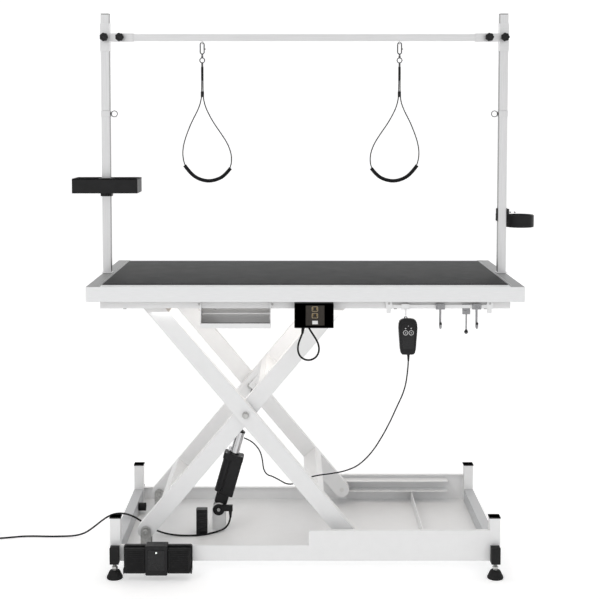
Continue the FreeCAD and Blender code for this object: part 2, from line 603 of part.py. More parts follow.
def make_posts():
    pin_z = PIN_Z
    half = POST_SIDE / 2
    lower = fuse([square_tube(-POST_X, POST_SIDE, POST_WALL, RIM_TOP, POST_SPLIT - 0.5),
                  block(-POST_X - 11, -POST_X + 11, -11, 11, RIM_TOP, RIM_TOP + 14),
                  rod((-POST_X, 0, RIM_TOP), (-POST_X, 0, BOARD_BOTTOM - 12), 6),
                  square_tube(-POST_X, POST_SIDE + 2.4, 1.2, PIN_Z - 9, POST_SPLIT - 0.5)])
    hole = rod((-640, 0, pin_z), (-590, 0, pin_z), 3 + MOVE_GAP)
    lower = lower.cut(hole)
    nut = rod((-POST_X, 0, BOARD_BOTTOM - 9), (-POST_X, 0, BOARD_BOTTOM), 9)
    nut = nut.cut(rod((-POST_X, 0, 800), (-POST_X, 0, 860), 6))
    save("lower_posts", left_right(lower) + left_right(nut))

    inner = half - POST_WALL - MOVE_GAP
    foot = PIN_Z - FRAME_LIFT - 20
    spigot = block(-POST_X - inner, -POST_X + inner, -inner, inner, foot, POST_SPLIT + 50)
    spigot = spigot.cut(block(-POST_X - inner + 2, -POST_X + inner - 2, -inner + 2, inner - 2, foot - 1, 1500))
    slot = block(-640, -590, -3 - MOVE_GAP, 3 + MOVE_GAP, PIN_Z - FRAME_LIFT - 4, PIN_Z + 4)
    upper = fuse([square_tube(-POST_X, POST_SIDE, POST_WALL + MOVE_GAP, POST_SPLIT, POST_TOP), spigot])
    upper = upper.cut(slot)
    cap = fuse([block(-POST_X - half, -POST_X + half, -half, half, POST_TOP, POST_TOP + 2),
                block(-POST_X - 10, -POST_X + 10, -10, 10, POST_TOP - 12, POST_TOP)])
    save("upper_posts", left_right(upper) + left_right(cap))

    pull = fuse([rod((-628, 0, pin_z), (-598, 0, pin_z), 3), rod((-598.4, 0, pin_z), (-594.5, 0, pin_z), 4.5),
                 ring((-587.2, 0, pin_z), BACK, 9.2, 1.3)])
    save("ring_pin_left", pull)
    save("ring_pin_right", pull.mirror(FreeCAD.Vector(0, 0, 0), RIGHT))


def make_bar():
    half = BAR_SIDE / 2
    bar = block(-592, 592, -half, half, BAR_Z - half, BAR_Z + half).cut(
        block(-593, 593, -half + 1.5, half - 1.5, BAR_Z - half + 1.5, BAR_Z + half - 1.5))
    eyes = [ring((x, 0, EYE_Z), RIGHT, 5.2, 1.6) for x in NOOSE_X.values()]
    save("overhead_bar", fuse([bar] + eyes))

    sleeve = square_tube(-POST_X, 28.6, 1.5, BAR_Z - 42, BAR_Z + 43)
    gap = half + MOVE_GAP
    branch = block(-POST_X + 13, -526, -12.5, 12.5, BAR_Z - 12.5, BAR_Z + 12.5).cut(
        block(-POST_X + 12, -525, -gap, gap, BAR_Z - gap, BAR_Z + gap))
    bosses = [rod((-POST_X, -18, BAR_Z), (-POST_X, -13, BAR_Z), 7), rod((-565, -16, BAR_Z), (-565, -11, BAR_Z), 7)]
    tee = fuse([sleeve, branch] + bosses)
    inside = block(-POST_X - 12.8, -POST_X + 12.8, -12.8, 12.8, BAR_Z - 50, BAR_Z + 50)
    tee = tee.cut(inside).cut(block(-POST_X + 12, -525, -gap, gap, BAR_Z - gap, BAR_Z + gap))
    for x in (-POST_X, -565):
        tee = tee.cut(rod((x, -20, BAR_Z), (x, -9, BAR_Z), 3.3))
    save("t_connectors", left_right(tee))

    for name, x, seat, stud_end in (("knob_post_left", -POST_X, -18.3, -13.2),
                                    ("knob_bar_left", -565.0, -16.3, -11.0)):
        grip = Part.Face(Part.Wire(Part.Ellipse(FreeCAD.Vector(0, 0, 0), 13.6, 11.0).toShape()))
        grip = grip.extrude(UP * 15)
        grip = grip.makeFillet(3, [edge for edge in grip.Edges if edge.BoundBox.ZMin > 14])
        grip.rotate(FreeCAD.Vector(0, 0, 0), RIGHT, 90)
        grip.translate(FreeCAD.Vector(x, seat - 7, BAR_Z))
        knob = fuse([grip, rod((x, seat - 8, BAR_Z), (x, seat, BAR_Z), 7), rod((x, seat - 2, BAR_Z), (x, stud_end, BAR_Z), 3)])
        save(name, knob)
        save(name.replace("left", "right"), knob.mirror(FreeCAD.Vector(0, 0, 0), RIGHT))


NOOSE_X = {"left": -315.0, "right": 293.0}
EYE_Z = BAR_Z - BAR_SIDE / 2 - 4.8
# One noose cable, from its sleeve round and back: distance towards the table's middle, and height.
LOOP_ROUTE = [
    (1.9, 1452), (1.9, 1431), (2.6, 1403), (6, 1382), (14, 1360), (33, 1324), (57, 1290), (80, 1254), (91, 1216),
    (86, 1182), (68, 1159), (43, 1146), (15, 1141.5), (-14, 1149), (-38, 1166), (-56, 1191), (-62.5, 1224),
    (-59, 1256), (-48, 1290), (-33, 1326), (-16, 1358), (-6.5, 1382), (-2.6, 1403), (-1.9, 1431), (-1.9, 1452)]
FOAM_FIRST = 9
FOAM_LAST = 15


def make_noose(side):
    x = NOOSE_X[side]
    sign = 1 if side == "right" else -1
    wire = 1.8
    top = EYE_Z - 6
    hook = [ring((x, 0, top), BACK, 6, wire).common(block(x - 9, x + 9, -3, 3, top, top + 9)),
            ring((x, 0, 1540), BACK, 6, wire).common(block(x - 9, x + 9, -3, 3, 1530, 1540)),
            rod((x - 6, 0, 1540), (x - 6, 0, top), wire), rod((x + 6, 0, 1540), (x + 6, 0, top), wire),
            rod((x, 0, 1534), (x, 0, 1522), 3.5), ring((x, 0, 1514.5), BACK, 7.5, 1.6),
            rod((x, 0, 1508), (x, 0, 1495), 3), rod((x, 0, 1495), (x, 0, 1452), 3.9)]
    clamp = block(x - 5.4, x + 5.4, -3.8, 3.8, 1401, 1420)
    for dx in (-1.9, 1.9):
        clamp = clamp.cut(rod((x + dx, 0, 1400), (x + dx, 0, 1430), 2.3))
    save("noose_%s_hook" % side, fuse(hook))
    points = [(x - sign * across, 0, height) for across, height in LOOP_ROUTE]
    cable = cord_tube("noose_" + side, points, NOOSE_D)
    foam = cord_tube("foam_" + side, points[FOAM_FIRST:FOAM_LAST + 1], 11.0)
    save("noose_%s_loop" % side, [cable, foam.cut(cable), clamp])


def make_holders():
    x0, x1, z0, z1 = -712.0, -511.0, 1107.0, 1152.0
    centre = -POST_X
    tray = block(x0, x1, -55, 55, z0, z1)
    tray = tray.makeFillet(5, edges_along(tray, UP))
    for a, b in ((x0 + 3, centre - 18), (centre + 18, x1 - 3)):
        tray = tray.cut(block(a, b, -52, 52, z0 + 3, z1 + 1))
    tray = tray.cut(block(centre - 15, centre + 15, -52, -18, z0 + 3, z1 + 1))
    tray = tray.cut(block(centre - 15, centre + 15, 18, 52, z0 + 3, z1 + 1))
    clamp = block(centre - 17, centre + 17, -17, 17, z0 - 11, z0)
    gap = POST_SIDE / 2 + MOVE_GAP
    screw = rod((centre, -24, z0 - 5.5), (centre, -16, z0 - 5.5), 5)
    tray = fuse([tray, clamp, screw]).cut(block(centre - gap, centre + gap, -gap, gap, z0 - 12, z1 + 1))
    save("tool_tray", tray)

    centre = POST_X
    open_front = block(centre - 20, centre + gap, -20, 3, 990, 1070)
    clamp = block(centre - 16, centre + 43, -17, 17, 1036, 1057)
    clamp = clamp.makeFillet(4, edges_along(clamp, UP))
    band_x = 668.0
    band = rod((band_x, 0, 1002), (band_x, 0, 1036.5), 44).cut(rod((band_x, 0, 1001), (band_x, 0, 1060), 39))
    holder = fuse([clamp.cut(rod((band_x, 0, 1030), (band_x, 0, 1060), 39)), band])
    collar = block(centre - 16, centre + 17, -17, 17, 1018, 1040)
    holder = fuse([holder, collar.cut(rod((band_x, 0, 1000), (band_x, 0, 1060), 43))])
    holder = holder.cut(block(centre - gap, centre + gap, -gap, gap, 990, 1070)).cut(open_front)
    save("dryer_holder", holder)


# ---- foot control -------------------------------------------------------------------------
def make_pedal():
    x0, x1, z0, z1 = -527.0, -328.0, 17.0, 98.0
    back = -CORNER_Y - CORNER_SIDE / 2 - 3
    plate = block(x0, x1, back - 12, back, z0, z1)
    plate = plate.makeFillet(6, edges_along(plate, BACK))
    bridge = block(-462, -398, -323, back, z0, 104)
    bridge = bridge.makeFillet(4, edges_along(bridge, BACK))
    wall = CORNER_Y + CORNER_SIDE / 2
    hook = [block(-458, -402, back, -wall - MOVE_GAP, 60, BASE_LOW + 3),
            block(-458, -402, back, -wall + 14.3, BASE_LOW + MOVE_GAP, BASE_LOW + 3),
            block(-458, -402, -wall + 12.3, -wall + 14.3, 78, BASE_LOW + 3)]
    axles = [rod((x0 + 4, -311, 26), (-460, -311, 26), 3), rod((-400, -311, 26), (x1 - 4, -311, 26), 3)]
    cheeks = []
    for x in (x0, x1 - 4):
        cheeks.append(block(x, x + 4, -316, back - 10, z0 + 3, 34))
    save("pedal_base", fuse([plate, bridge] + hook + cheeks + axles))
    for name, a, b in (("treadle_left", x0 + 4.5, -462.5), ("treadle_right", -397.5, x1 - 4.5)):
        pad = prism_xz([(a, 21), (b, 21), (b, 94), (a, 94)], -321, -303)
        pad = pad.makeFillet(3, edges_along(pad, BACK))
        pad = pad.cut(rod((a - 1, -311, 26), (b + 1, -311, 26), 3 + RUN_GAP))
        save(name, pad)


os.makedirs("parts", exist_ok=True)
make_base()
make_pivots()
make_tracks()
make_scissor()
make_actuator()
make_cords()
make_top()
make_accessories()
make_hand_control()
make_posts()
make_bar()
make_noose("left")
make_noose("right")
make_holders()
make_pedal()
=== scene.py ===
import json
import math

import bmesh
import bpy
from mathutils import Matrix, Vector


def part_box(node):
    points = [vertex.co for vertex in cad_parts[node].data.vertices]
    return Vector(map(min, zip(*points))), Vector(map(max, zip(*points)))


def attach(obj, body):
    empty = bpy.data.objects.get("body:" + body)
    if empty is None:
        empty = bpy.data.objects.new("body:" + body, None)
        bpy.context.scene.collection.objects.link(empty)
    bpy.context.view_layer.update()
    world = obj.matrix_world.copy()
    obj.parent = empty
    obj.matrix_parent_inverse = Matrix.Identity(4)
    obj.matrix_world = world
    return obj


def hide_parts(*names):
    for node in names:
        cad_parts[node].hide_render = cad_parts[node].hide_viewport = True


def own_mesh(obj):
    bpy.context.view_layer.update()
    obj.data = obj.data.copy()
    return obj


# Electric grooming table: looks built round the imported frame. Metres, +X right, +Y back, +Z up.

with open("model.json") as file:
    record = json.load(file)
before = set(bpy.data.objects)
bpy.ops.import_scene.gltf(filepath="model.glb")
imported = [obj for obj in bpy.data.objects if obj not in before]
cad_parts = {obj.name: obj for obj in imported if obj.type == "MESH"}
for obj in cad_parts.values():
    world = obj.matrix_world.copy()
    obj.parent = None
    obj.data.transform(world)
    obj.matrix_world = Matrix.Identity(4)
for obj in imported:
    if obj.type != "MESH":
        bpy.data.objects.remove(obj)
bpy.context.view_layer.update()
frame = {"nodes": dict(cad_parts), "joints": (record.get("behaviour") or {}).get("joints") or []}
scene = bpy.context.scene
nodes = frame["nodes"]
joint_at = {joint["name"]: joint for joint in frame["joints"]}

MM = 0.001
CURVE_STEPS = 12
POST_X = 0.6125
FOOT_X, FOOT_Y = 0.554, 0.296


def mm(points):
    """Points given in millimetres, turned into metres."""
    return [tuple(value * MM for value in point) for point in points]


# ---- camera, light and floor --------------------------------------------------------------
CAMERA_AT = (-0.0302, -3.733, 1.3354)
CAMERA_TILT = 0.0608
LENS_MM = 72.34
SENSOR_MM = 36.0
SHIFT = (0.0089, -0.18)
# The world's strength in reflections, in the middle and at the sides.
SIDE_BRIGHT, SIDE_DARK = 0.72, 0.2
FLOOR_HALF_WIDTH = 18.0
FLOOR_PROFILE = [(-12.0, 0.0), (6.0, 0.0), (7.2, 0.14), (8.1, 0.6), (8.7, 1.5), (8.9, 3.0), (8.9, 9.0)]


def make_camera():
    data = bpy.data.cameras.new("camera")
    data.sensor_width = SENSOR_MM
    data.lens = LENS_MM
    data.shift_x, data.shift_y = SHIFT
    camera = bpy.data.objects.new("camera", data)
    camera.location = CAMERA_AT
    camera.rotation_euler = (math.pi / 2 - CAMERA_TILT, 0, 0)
    scene.collection.objects.link(camera)
    scene.camera = camera


def area_light(name, at, target, size, power, seen=True):
    data = bpy.data.lights.new(name, "AREA")
    data.shape = "RECTANGLE"
    data.size, data.size_y = size
    data.energy = power
    light = bpy.data.objects.new(name, data)
    light.location = at
    light.rotation_euler = (Vector(target) - Vector(at)).to_track_quat("-Z", "Y").to_euler()
    light.visible_camera = False
    light.visible_glossy = seen
    scene.collection.objects.link(light)


def size_step(tree, vector, axis, low, high, curve):
    """A node that goes from 0 to 1 as the size of one coordinate goes from low to high."""
    split = tree.nodes.new("ShaderNodeSeparateXYZ")
    tree.links.new(vector, split.inputs["Vector"])
    size = tree.nodes.new("ShaderNodeMath")
    size.operation = "ABSOLUTE"
    tree.links.new(split.outputs[axis], size.inputs[0])
    step = tree.nodes.new("ShaderNodeMapRange")
    step.interpolation_type = curve
    step.inputs["From Min"].default_value = low
    step.inputs["From Max"].default_value = high
    tree.links.new(size.outputs[0], step.inputs["Value"])
    return step


def make_world():
    """White to look at; in reflections and fill light the two sides are darker, like black side flags."""
    world = bpy.data.worlds.new("studio")
    world.use_nodes = True
    tree = world.node_tree
    plain = tree.nodes["Background"]
    plain.inputs["Color"].default_value = (1, 1, 1, 1)
    plain.inputs["Strength"].default_value = 1.0
    flagged = tree.nodes.new("ShaderNodeBackground")
    flagged.inputs["Color"].default_value = (1, 1, 1, 1)
    where = tree.nodes.new("ShaderNodeTexCoord")
    side = size_step(tree, where.outputs["Generated"], "X", 0.5, 0.85, "SMOOTHSTEP")
    side.inputs["To Min"].default_value = SIDE_BRIGHT
    side.inputs["To Max"].default_value = SIDE_DARK
    tree.links.new(side.outputs["Result"], flagged.inputs["Strength"])
    path = tree.nodes.new("ShaderNodeLightPath")
    mix = tree.nodes.new("ShaderNodeMixShader")
    tree.links.new(path.outputs["Is Camera Ray"], mix.inputs["Fac"])
    tree.links.new(flagged.outputs[0], mix.inputs[1])
    tree.links.new(plain.outputs[0], mix.inputs[2])
    tree.links.new(mix.outputs[0], tree.nodes["World Output"].inputs["Surface"])
    scene.world = world


def make_studio():
    scene.view_settings.view_transform = "Standard"
    make_world()
    area_light("key", (-3.2, -4.2, 3.6), (0, 0, 0.7), (2.0, 2.6), 34)
    area_light("fill", (3.6, -3.2, 2.2), (0, 0, 0.7), (2.2, 2.8), 6)
    area_light("top", (0.2, 0.4, 4.6), (0, 0, 0.6), (3.0, 2.0), 14)
    area_light("under_table", (0, -0.05, 0.77), (0, -0.05, 0), (0.9, 0.4), 1.6, seen=False)

    floor = bpy.data.meshes.new("floor")
    points = [(side * FLOOR_HALF_WIDTH, y, z) for y, z in FLOOR_PROFILE for side in (-1, 1)]
    faces = [(2 * k, 2 * k + 1, 2 * k + 3, 2 * k + 2) for k in range(len(FLOOR_PROFILE) - 1)]
    floor.from_pydata(points, [], faces)
    floor.polygons.foreach_set("use_smooth", [True] * len(faces))
    sweep = bpy.data.objects.new("floor", floor)
    paper = bpy.data.materials.new("paper")
    paper.use_nodes = True
    shader = paper.node_tree.nodes["Principled BSDF"]
    shader.inputs["Base Color"].default_value = (0.93, 0.93, 0.93, 1)
    shader.inputs["Roughness"].default_value = 0.9
    shader.inputs["Emission Color"].default_value = (1, 1, 1, 1)
    shader.inputs["Emission Strength"].default_value = 0.36
    floor.materials.append(paper)
    scene.collection.objects.link(sweep)


# ---- materials ----------------------------------------------------------------------------
def with_painted_shade(tree, color, mask, tone):
    """Multiply a colour by a tone where the mask is 1, which paints shade there."""
    mix = tree.nodes.new("ShaderNodeMix")
    mix.data_type = "RGBA"
    mix.blend_type = "MULTIPLY"
    mix.inputs["B"].default_value = (tone, tone, tone, 1)
    tree.links.new(mask, mix.inputs["Factor"])
    tree.links.new(color, mix.inputs["A"])
    return mix.outputs["Result"]


def facing(tree, place, axis):
    """1 on faces square to one of the object's own axes."""
    return size_step(tree, place.outputs["Normal"], axis, 0.5, 0.9, "SMOOTHSTEP").outputs["Result"]


def painted_end_rail_shade_mask(tree, place):
    """1 on the flat top of the two end rails, where shade is painted to make them darker than the front and
    back rails.
    """
    ends = size_step(tree, place.outputs["Object"], "X", 0.5845, 0.5865, "LINEAR")
    both = tree.nodes.new("ShaderNodeMath")
    both.operation = "MULTIPLY"
    tree.links.new(ends.outputs["Result"], both.inputs[0])
    tree.links.new(facing(tree, place, "Z"), both.inputs[1])
    return both.outputs[0]


def surface(name, color, rough, metallic=0.0, stretch=(1, 1, 1), scale=60.0, spread=0.12, bump=0.05,
            bump_scale=None, bump_depth=0.3, round_edges=0.0, dust=0.0, coat=0.0, voronoi=False,
            rough_spread=0.08, gloss_level=0.5, painted_side_shade=None, painted_end_rail_shade=None):
    """A finish whose colour, roughness and relief vary with procedural noise in the object's own space; two
    options paint shade into the colour, on faces square to X and on the tops of the end rails.
    """
    material = bpy.data.materials.new(name)
    material.use_nodes = True
    tree = material.node_tree
    shader = tree.nodes["Principled BSDF"]
    shader.inputs["Metallic"].default_value = metallic
    shader.inputs["Coat Weight"].default_value = coat
    shader.inputs["Coat Roughness"].default_value = 0.12
    shader.inputs["Specular IOR Level"].default_value = gloss_level

    place = tree.nodes.new("ShaderNodeTexCoord")
    mapping = tree.nodes.new("ShaderNodeMapping")
    mapping.inputs["Scale"].default_value = stretch
    tree.links.new(place.outputs["Object"], mapping.inputs["Vector"])

    mottle = tree.nodes.new("ShaderNodeTexNoise")
    mottle.inputs["Scale"].default_value = scale
    mottle.inputs["Detail"].default_value = 6.0
    tree.links.new(mapping.outputs["Vector"], mottle.inputs["Vector"])

    ramp = tree.nodes.new("ShaderNodeValToRGB")
    ramp.color_ramp.elements[0].position = 0.3
    ramp.color_ramp.elements[1].position = 0.7
    ramp.color_ramp.elements[0].color = [c * (1 - spread) for c in color] + [1]
    ramp.color_ramp.elements[1].color = [min(1.0, c * (1 + spread * 0.5)) for c in color] + [1]
    tree.links.new(mottle.outputs["Fac"], ramp.inputs["Fac"])
    last = ramp.outputs["Color"]

    if dust:
        cloud = tree.nodes.new("ShaderNodeTexNoise")
        cloud.inputs["Scale"].default_value = 5.0
        cloud.inputs["Detail"].default_value = 8.0
        tree.links.new(place.outputs["Object"], cloud.inputs["Vector"])
        amount = tree.nodes.new("ShaderNodeMapRange")
        amount.inputs["From Min"].default_value = 0.45
        amount.inputs["From Max"].default_value = 0.75
        amount.inputs["To Max"].default_value = dust
        tree.links.new(cloud.outputs["Fac"], amount.inputs["Value"])
        mix = tree.nodes.new("ShaderNodeMix")
        mix.data_type = "RGBA"
        mix.inputs["B"].default_value = (0.45, 0.44, 0.42, 1)
        tree.links.new(amount.outputs["Result"], mix.inputs["Factor"])
        tree.links.new(last, mix.inputs["A"])
        last = mix.outputs["Result"]
    # Painted shade: the faces square to the object's X axis are darkened by this tone.
    if painted_side_shade is not None:
        last = with_painted_shade(tree, last, facing(tree, place, "X"), painted_side_shade)
    # Painted shade: the tops of the two end rails are darkened by this tone.
    if painted_end_rail_shade is not None:
        last = with_painted_shade(tree, last, painted_end_rail_shade_mask(tree, place), painted_end_rail_shade)
    tree.links.new(last, shader.inputs["Base Color"])

    gloss = tree.nodes.new("ShaderNodeMapRange")
    gloss.inputs["To Min"].default_value = max(0.03, rough - rough_spread)
    gloss.inputs["To Max"].default_value = min(1.0, rough + rough_spread)
    tree.links.new(mottle.outputs["Fac"], gloss.inputs["Value"])
    tree.links.new(gloss.outputs["Result"], shader.inputs["Roughness"])

    relief = tree.nodes.new("ShaderNodeBump")
    relief.inputs["Strength"].default_value = bump
    relief.inputs["Distance"].default_value = bump_depth * MM
    if voronoi:
        grain = tree.nodes.new("ShaderNodeTexVoronoi")
        grain.inputs["Scale"].default_value = bump_scale or scale * 4
        height = grain.outputs["Distance"]
    else:
        grain = tree.nodes.new("ShaderNodeTexNoise")
        grain.inputs["Scale"].default_value = bump_scale or scale * 4
        grain.inputs["Detail"].default_value = 4.0
        height = grain.outputs["Fac"]
    tree.links.new(mapping.outputs["Vector"], grain.inputs["Vector"])
    tree.links.new(height, relief.inputs["Height"])
    if round_edges:
        soft = tree.nodes.new("ShaderNodeBevel")
        soft.samples = 4
        soft.inputs["Radius"].default_value = round_edges * MM
        tree.links.new(soft.outputs["Normal"], relief.inputs["Normal"])
    tree.links.new(relief.outputs["Normal"], shader.inputs["Normal"])
    return material


def glow(name, color, strength):
    material = surface(name, color, 0.3, scale=300)
    shader = material.node_tree.nodes["Principled BSDF"]
    shader.inputs["Emission Color"].default_value = (*color, 1)
    shader.inputs["Emission Strength"].default_value = strength
    return material


WHITE = surface("white_powder_coat", (0.86, 0.862, 0.865), 0.42, scale=35, spread=0.015, bump=0.25,
                bump_scale=1500, bump_depth=0.12, round_edges=1.4, dust=0.02)
# The white powder coat darkened to grey as painted shade, for the base side rails.
PAINTED_SHADE_COAT = surface("white_powder_coat_painted_shade", (0.55, 0.56, 0.575), 0.45, scale=35, spread=0.03, bump=0.25,
               bump_scale=1500, bump_depth=0.12, round_edges=1.2, dust=0.05)
# The posts' faces square to X are darkened to 0.30 as painted shade.
STAINLESS = surface("stainless_brushed", (0.84, 0.84, 0.845), 0.34, metallic=0.6, stretch=(60, 60, 0.6),
                    scale=22, spread=0.08, bump=0.22, bump_scale=60, bump_depth=0.05, round_edges=1.6,
                    painted_side_shade=0.30)
STAINLESS_X = surface("stainless_brushed_across", (0.86, 0.86, 0.865), 0.34, metallic=0.6,
                      stretch=(0.6, 60, 60), scale=22, spread=0.08, bump=0.22, bump_scale=60,
                      bump_depth=0.05, round_edges=1.6)
# The tops of the trim's end rails are darkened to 0.32 as painted shade.
ALUMINIUM = surface("aluminium_extrusion", (0.86, 0.865, 0.87), 0.42, metallic=0.3, stretch=(1, 40, 40),
                    scale=30, spread=0.05, bump=0.15, bump_scale=90, bump_depth=0.05, round_edges=1.0,
                    painted_end_rail_shade=0.32)
STEEL = surface("ground_steel", (0.33, 0.33, 0.34), 0.28, metallic=1.0, scale=120, spread=0.2,
                round_edges=0.4)
ZINC = surface("zinc_plate", (0.55, 0.55, 0.54), 0.34, metallic=0.9, scale=160, spread=0.22,
               round_edges=0.6)
CHROME = surface("polished_chrome", (0.62, 0.62, 0.63), 0.10, metallic=1.0, scale=40, spread=0.03,
                 bump=0.02, rough_spread=0.03, round_edges=0.4)
DARK_CHROME = surface("black_nickel", (0.16, 0.16, 0.165), 0.22, metallic=1.0, scale=90, spread=0.2,
                      bump=0.03, rough_spread=0.05, round_edges=0.4)
PLYWOOD = surface("sealed_plywood", (0.42, 0.31, 0.20), 0.6, stretch=(2, 30, 30), scale=9, spread=0.3,
                  bump=0.2)
MAT_RUBBER = surface("pebbled_rubber", (0.017, 0.0175, 0.0185), 0.55, scale=25, spread=0.25, bump=0.65,
                     bump_scale=420, bump_depth=0.6, voronoi=True, dust=0.006, gloss_level=0.12)
RUBBER = surface("plain_rubber", (0.013, 0.013, 0.0135), 0.6, scale=60, spread=0.3, bump=0.3,
                 bump_scale=900, round_edges=1.2, dust=0.012, gloss_level=0.2)
BLACK = surface("black_moulded", (0.012, 0.012, 0.013), 0.42, scale=50, spread=0.25, bump=0.4,
                bump_scale=1400, bump_depth=0.12, round_edges=1.0, dust=0.004, gloss_level=0.25)
BLACK_GLOSS = surface("black_gloss", (0.009, 0.009, 0.010), 0.22, scale=50, spread=0.2, bump=0.1,
                      bump_scale=600, round_edges=0.8, coat=0.1, gloss_level=0.3)
WHITE_PLASTIC = surface("white_moulded", (0.80, 0.80, 0.79), 0.35, scale=60, spread=0.04, bump=0.2,
                        bump_scale=1200, bump_depth=0.1, round_edges=0.6)
TAN_PLASTIC = surface("socket_insert", (0.030, 0.024, 0.018), 0.4, scale=90, spread=0.25, bump=0.15,
                      round_edges=0.5, gloss_level=0.3)
SOCKET_TAN = surface("socket_face", (0.34, 0.27, 0.17), 0.4, scale=150, spread=0.2, bump=0.15,
                     round_edges=0.4)
CORD = surface("cable_sheath", (0.010, 0.010, 0.011), 0.5, scale=120, spread=0.3, bump=0.25, bump_scale=900,
               bump_depth=0.1, gloss_level=0.2)
WIRE = surface("coated_wire_rope", (0.016, 0.016, 0.017), 0.4, scale=300, spread=0.4, bump=0.6,
               bump_scale=1600, bump_depth=0.2, gloss_level=0.25)
FOAM = surface("foam_grip", (0.012, 0.012, 0.013), 0.8, scale=200, spread=0.3, bump=0.8, bump_scale=1300,
               bump_depth=0.5, voronoi=True, gloss_level=0.2)
MARK = surface("printed_mark", (0.62, 0.62, 0.62), 0.5, scale=300, spread=0.1)
LED = glow("indicator_lens", (0.85, 0.9, 0.85), 0.8)
BRASS = surface("brass_contact", (0.55, 0.38, 0.14), 0.3, metallic=1.0, scale=200, spread=0.2)

CARRIED = {
    WHITE: ["base_floor", "base_walls", "corner_posts", "inner_arm_frame", "outer_arm_frame",
            "accessory_tray", "hook_rail", "lower_tracks", "upper_tracks", "under_frame",
            "actuator_bracket"],
    # The base side rails carry the white coat darkened as painted shade.
    PAINTED_SHADE_COAT: ["base_side_rails"],
    STAINLESS: ["lower_posts", "upper_posts"],
    STAINLESS_X: ["overhead_bar", "t_connectors"],
    ALUMINIUM: ["edge_trim"],
    STEEL: ["actuator_rod", "hook_2", "hook_3", "hook_4"],
    ZINC: ["lower_pivots", "upper_pivots", "centre_bolts"],
    CHROME: ["actuator_tube"],
    DARK_CHROME: ["ring_pin_left", "ring_pin_right"],
    PLYWOOD: ["table_board"],
    RUBBER: ["rubber_caps", "leg_sleeves"],
    BLACK: ["junction_box", "actuator_housing", "pedal_base", "dryer_holder", "outlet_box", "tool_tray"],
    WHITE_PLASTIC: ["lower_rollers", "upper_rollers", "outlet_rocker"],
    TAN_PLASTIC: ["outlet_insert"],
}


def paint_carried_nodes():
    for material, names in CARRIED.items():
        for name in names:
            mesh = nodes[name].data
            mesh.materials.clear()
            mesh.materials.append(material)


# ---- mesh helpers -------------------------------------------------------------------------
def piece(name, bm, material, body, replaces=()):
    """A mesh object in the row frame, riding on a body."""
    mesh = bpy.data.meshes.new(name)
    bmesh.ops.recalc_face_normals(bm, faces=bm.faces)
    bm.to_mesh(mesh)
    bm.free()
    mesh.materials.append(material)
    mesh.polygons.foreach_set("use_smooth", [True] * len(mesh.polygons))
    mesh.set_sharp_from_angle(angle=math.radians(38))
    made = bpy.data.objects.new(name, mesh)
    scene.collection.objects.link(made)
    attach(made, body)
    if replaces:
        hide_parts(*replaces)
    return made


def along(at, axis):
    """The move that takes +Z at the origin to an axis at a point."""
    turn = Vector((0, 0, 1)).rotation_difference(Vector(axis)).to_matrix().to_4x4()
    return Matrix.Translation(Vector(at)) @ turn


def stitch(bm, rings, closed=False):
    """Faces between rings of as many vertices each, and back to the first ring if closed."""
    count = len(rings[0])
    for first, second in zip(rings, rings[1:] + (rings[:1] if closed else [])):
        for k in range(count):
            bm.faces.new((first[k], first[(k + 1) % count], second[(k + 1) % count], second[k]))


def add_block(bm, low, high, bevel=0.0, segments=3):
    """A box with rounded edges."""
    low, high = Vector(low), Vector(high)
    made = bmesh.ops.create_cube(bm, size=1.0)["verts"]
    centre, size = (low + high) / 2, high - low
    for vert in made:
        vert.co = Vector(centre[k] + vert.co[k] * size[k] for k in range(3))
    if bevel:
        edges = list({edge for vert in made for edge in vert.link_edges})
        bmesh.ops.bevel(bm, geom=edges, offset=bevel, segments=segments, profile=0.5, affect="EDGES")


def add_lathe(bm, profile, at, axis=(0, 0, 1), steps=32):
    """A turned shape: profile is (radius, height) pairs along the axis from a point."""
    place = along(at, axis)
    rings = []
    for radius, height in profile:
        ring = []
        count = steps if radius > 1e-6 else 1
        for k in range(count):
            angle = 2 * math.pi * k / steps
            point = Vector((radius * math.cos(angle), radius * math.sin(angle), height))
            ring.append(bm.verts.new(place @ point))
        rings.append(ring)
    for first, second in zip(rings, rings[1:]):
        for k in range(steps):
            a, b = first[k % len(first)], first[(k + 1) % len(first)]
            c, d = second[(k + 1) % len(second)], second[k % len(second)]
            corners = [v for i, v in enumerate((a, b, c, d)) if v not in (a, b, c, d)[:i]]
            if len(corners) > 2:
                bm.faces.new(corners)
    for ring in (rings[0], rings[-1]):
        if len(ring) > 2:
            bm.faces.new(ring)


def add_torus(bm, at, axis, big, small, start=0.0, sweep=360.0, steps=40):
    """A ring, or part of one, square to an axis."""
    sides = 14
    place = along(at, axis)
    closed = sweep >= 360.0
    count = steps if closed else steps + 1
    rings = []
    for i in range(count):
        angle = math.radians(start + sweep * i / steps)
        ring = []
        for j in range(sides):
            around = 2 * math.pi * j / sides
            reach = big + small * math.cos(around)
            ring.append(bm.verts.new(place @ Vector((reach * math.cos(angle), reach * math.sin(angle),
                                                     small * math.sin(around)))))
        rings.append(ring)
    stitch(bm, rings, closed)
    if not closed:
        bm.faces.new(rings[0])
        bm.faces.new(rings[-1])


def add_hex(bm, at, axis, across, height):
    """A hexagon bolt head, narrower at its top face."""
    radius = across / math.sqrt(3)
    place = along(at, axis)
    levels = [(radius, 0.0), (radius, height * 0.85), (radius * 0.88, height)]
    corners = [(math.cos(k * math.pi / 3), math.sin(k * math.pi / 3)) for k in range(6)]
    rings = [[bm.verts.new(place @ Vector((r * x, r * y, z))) for x, y in corners] for r, z in levels]
    stitch(bm, rings)
    bm.faces.new(rings[0])
    bm.faces.new(rings[-1])


def add_socket_screw(bm, at, axis, radius, height):
    """A pan head with a round recess."""
    add_lathe(bm, [(0, 0), (radius, 0), (radius, height * 0.5), (radius * 0.85, height * 0.9),
                   (radius * 0.5, height), (radius * 0.45, height * 0.45), (0, height * 0.4)], at, axis, 24)


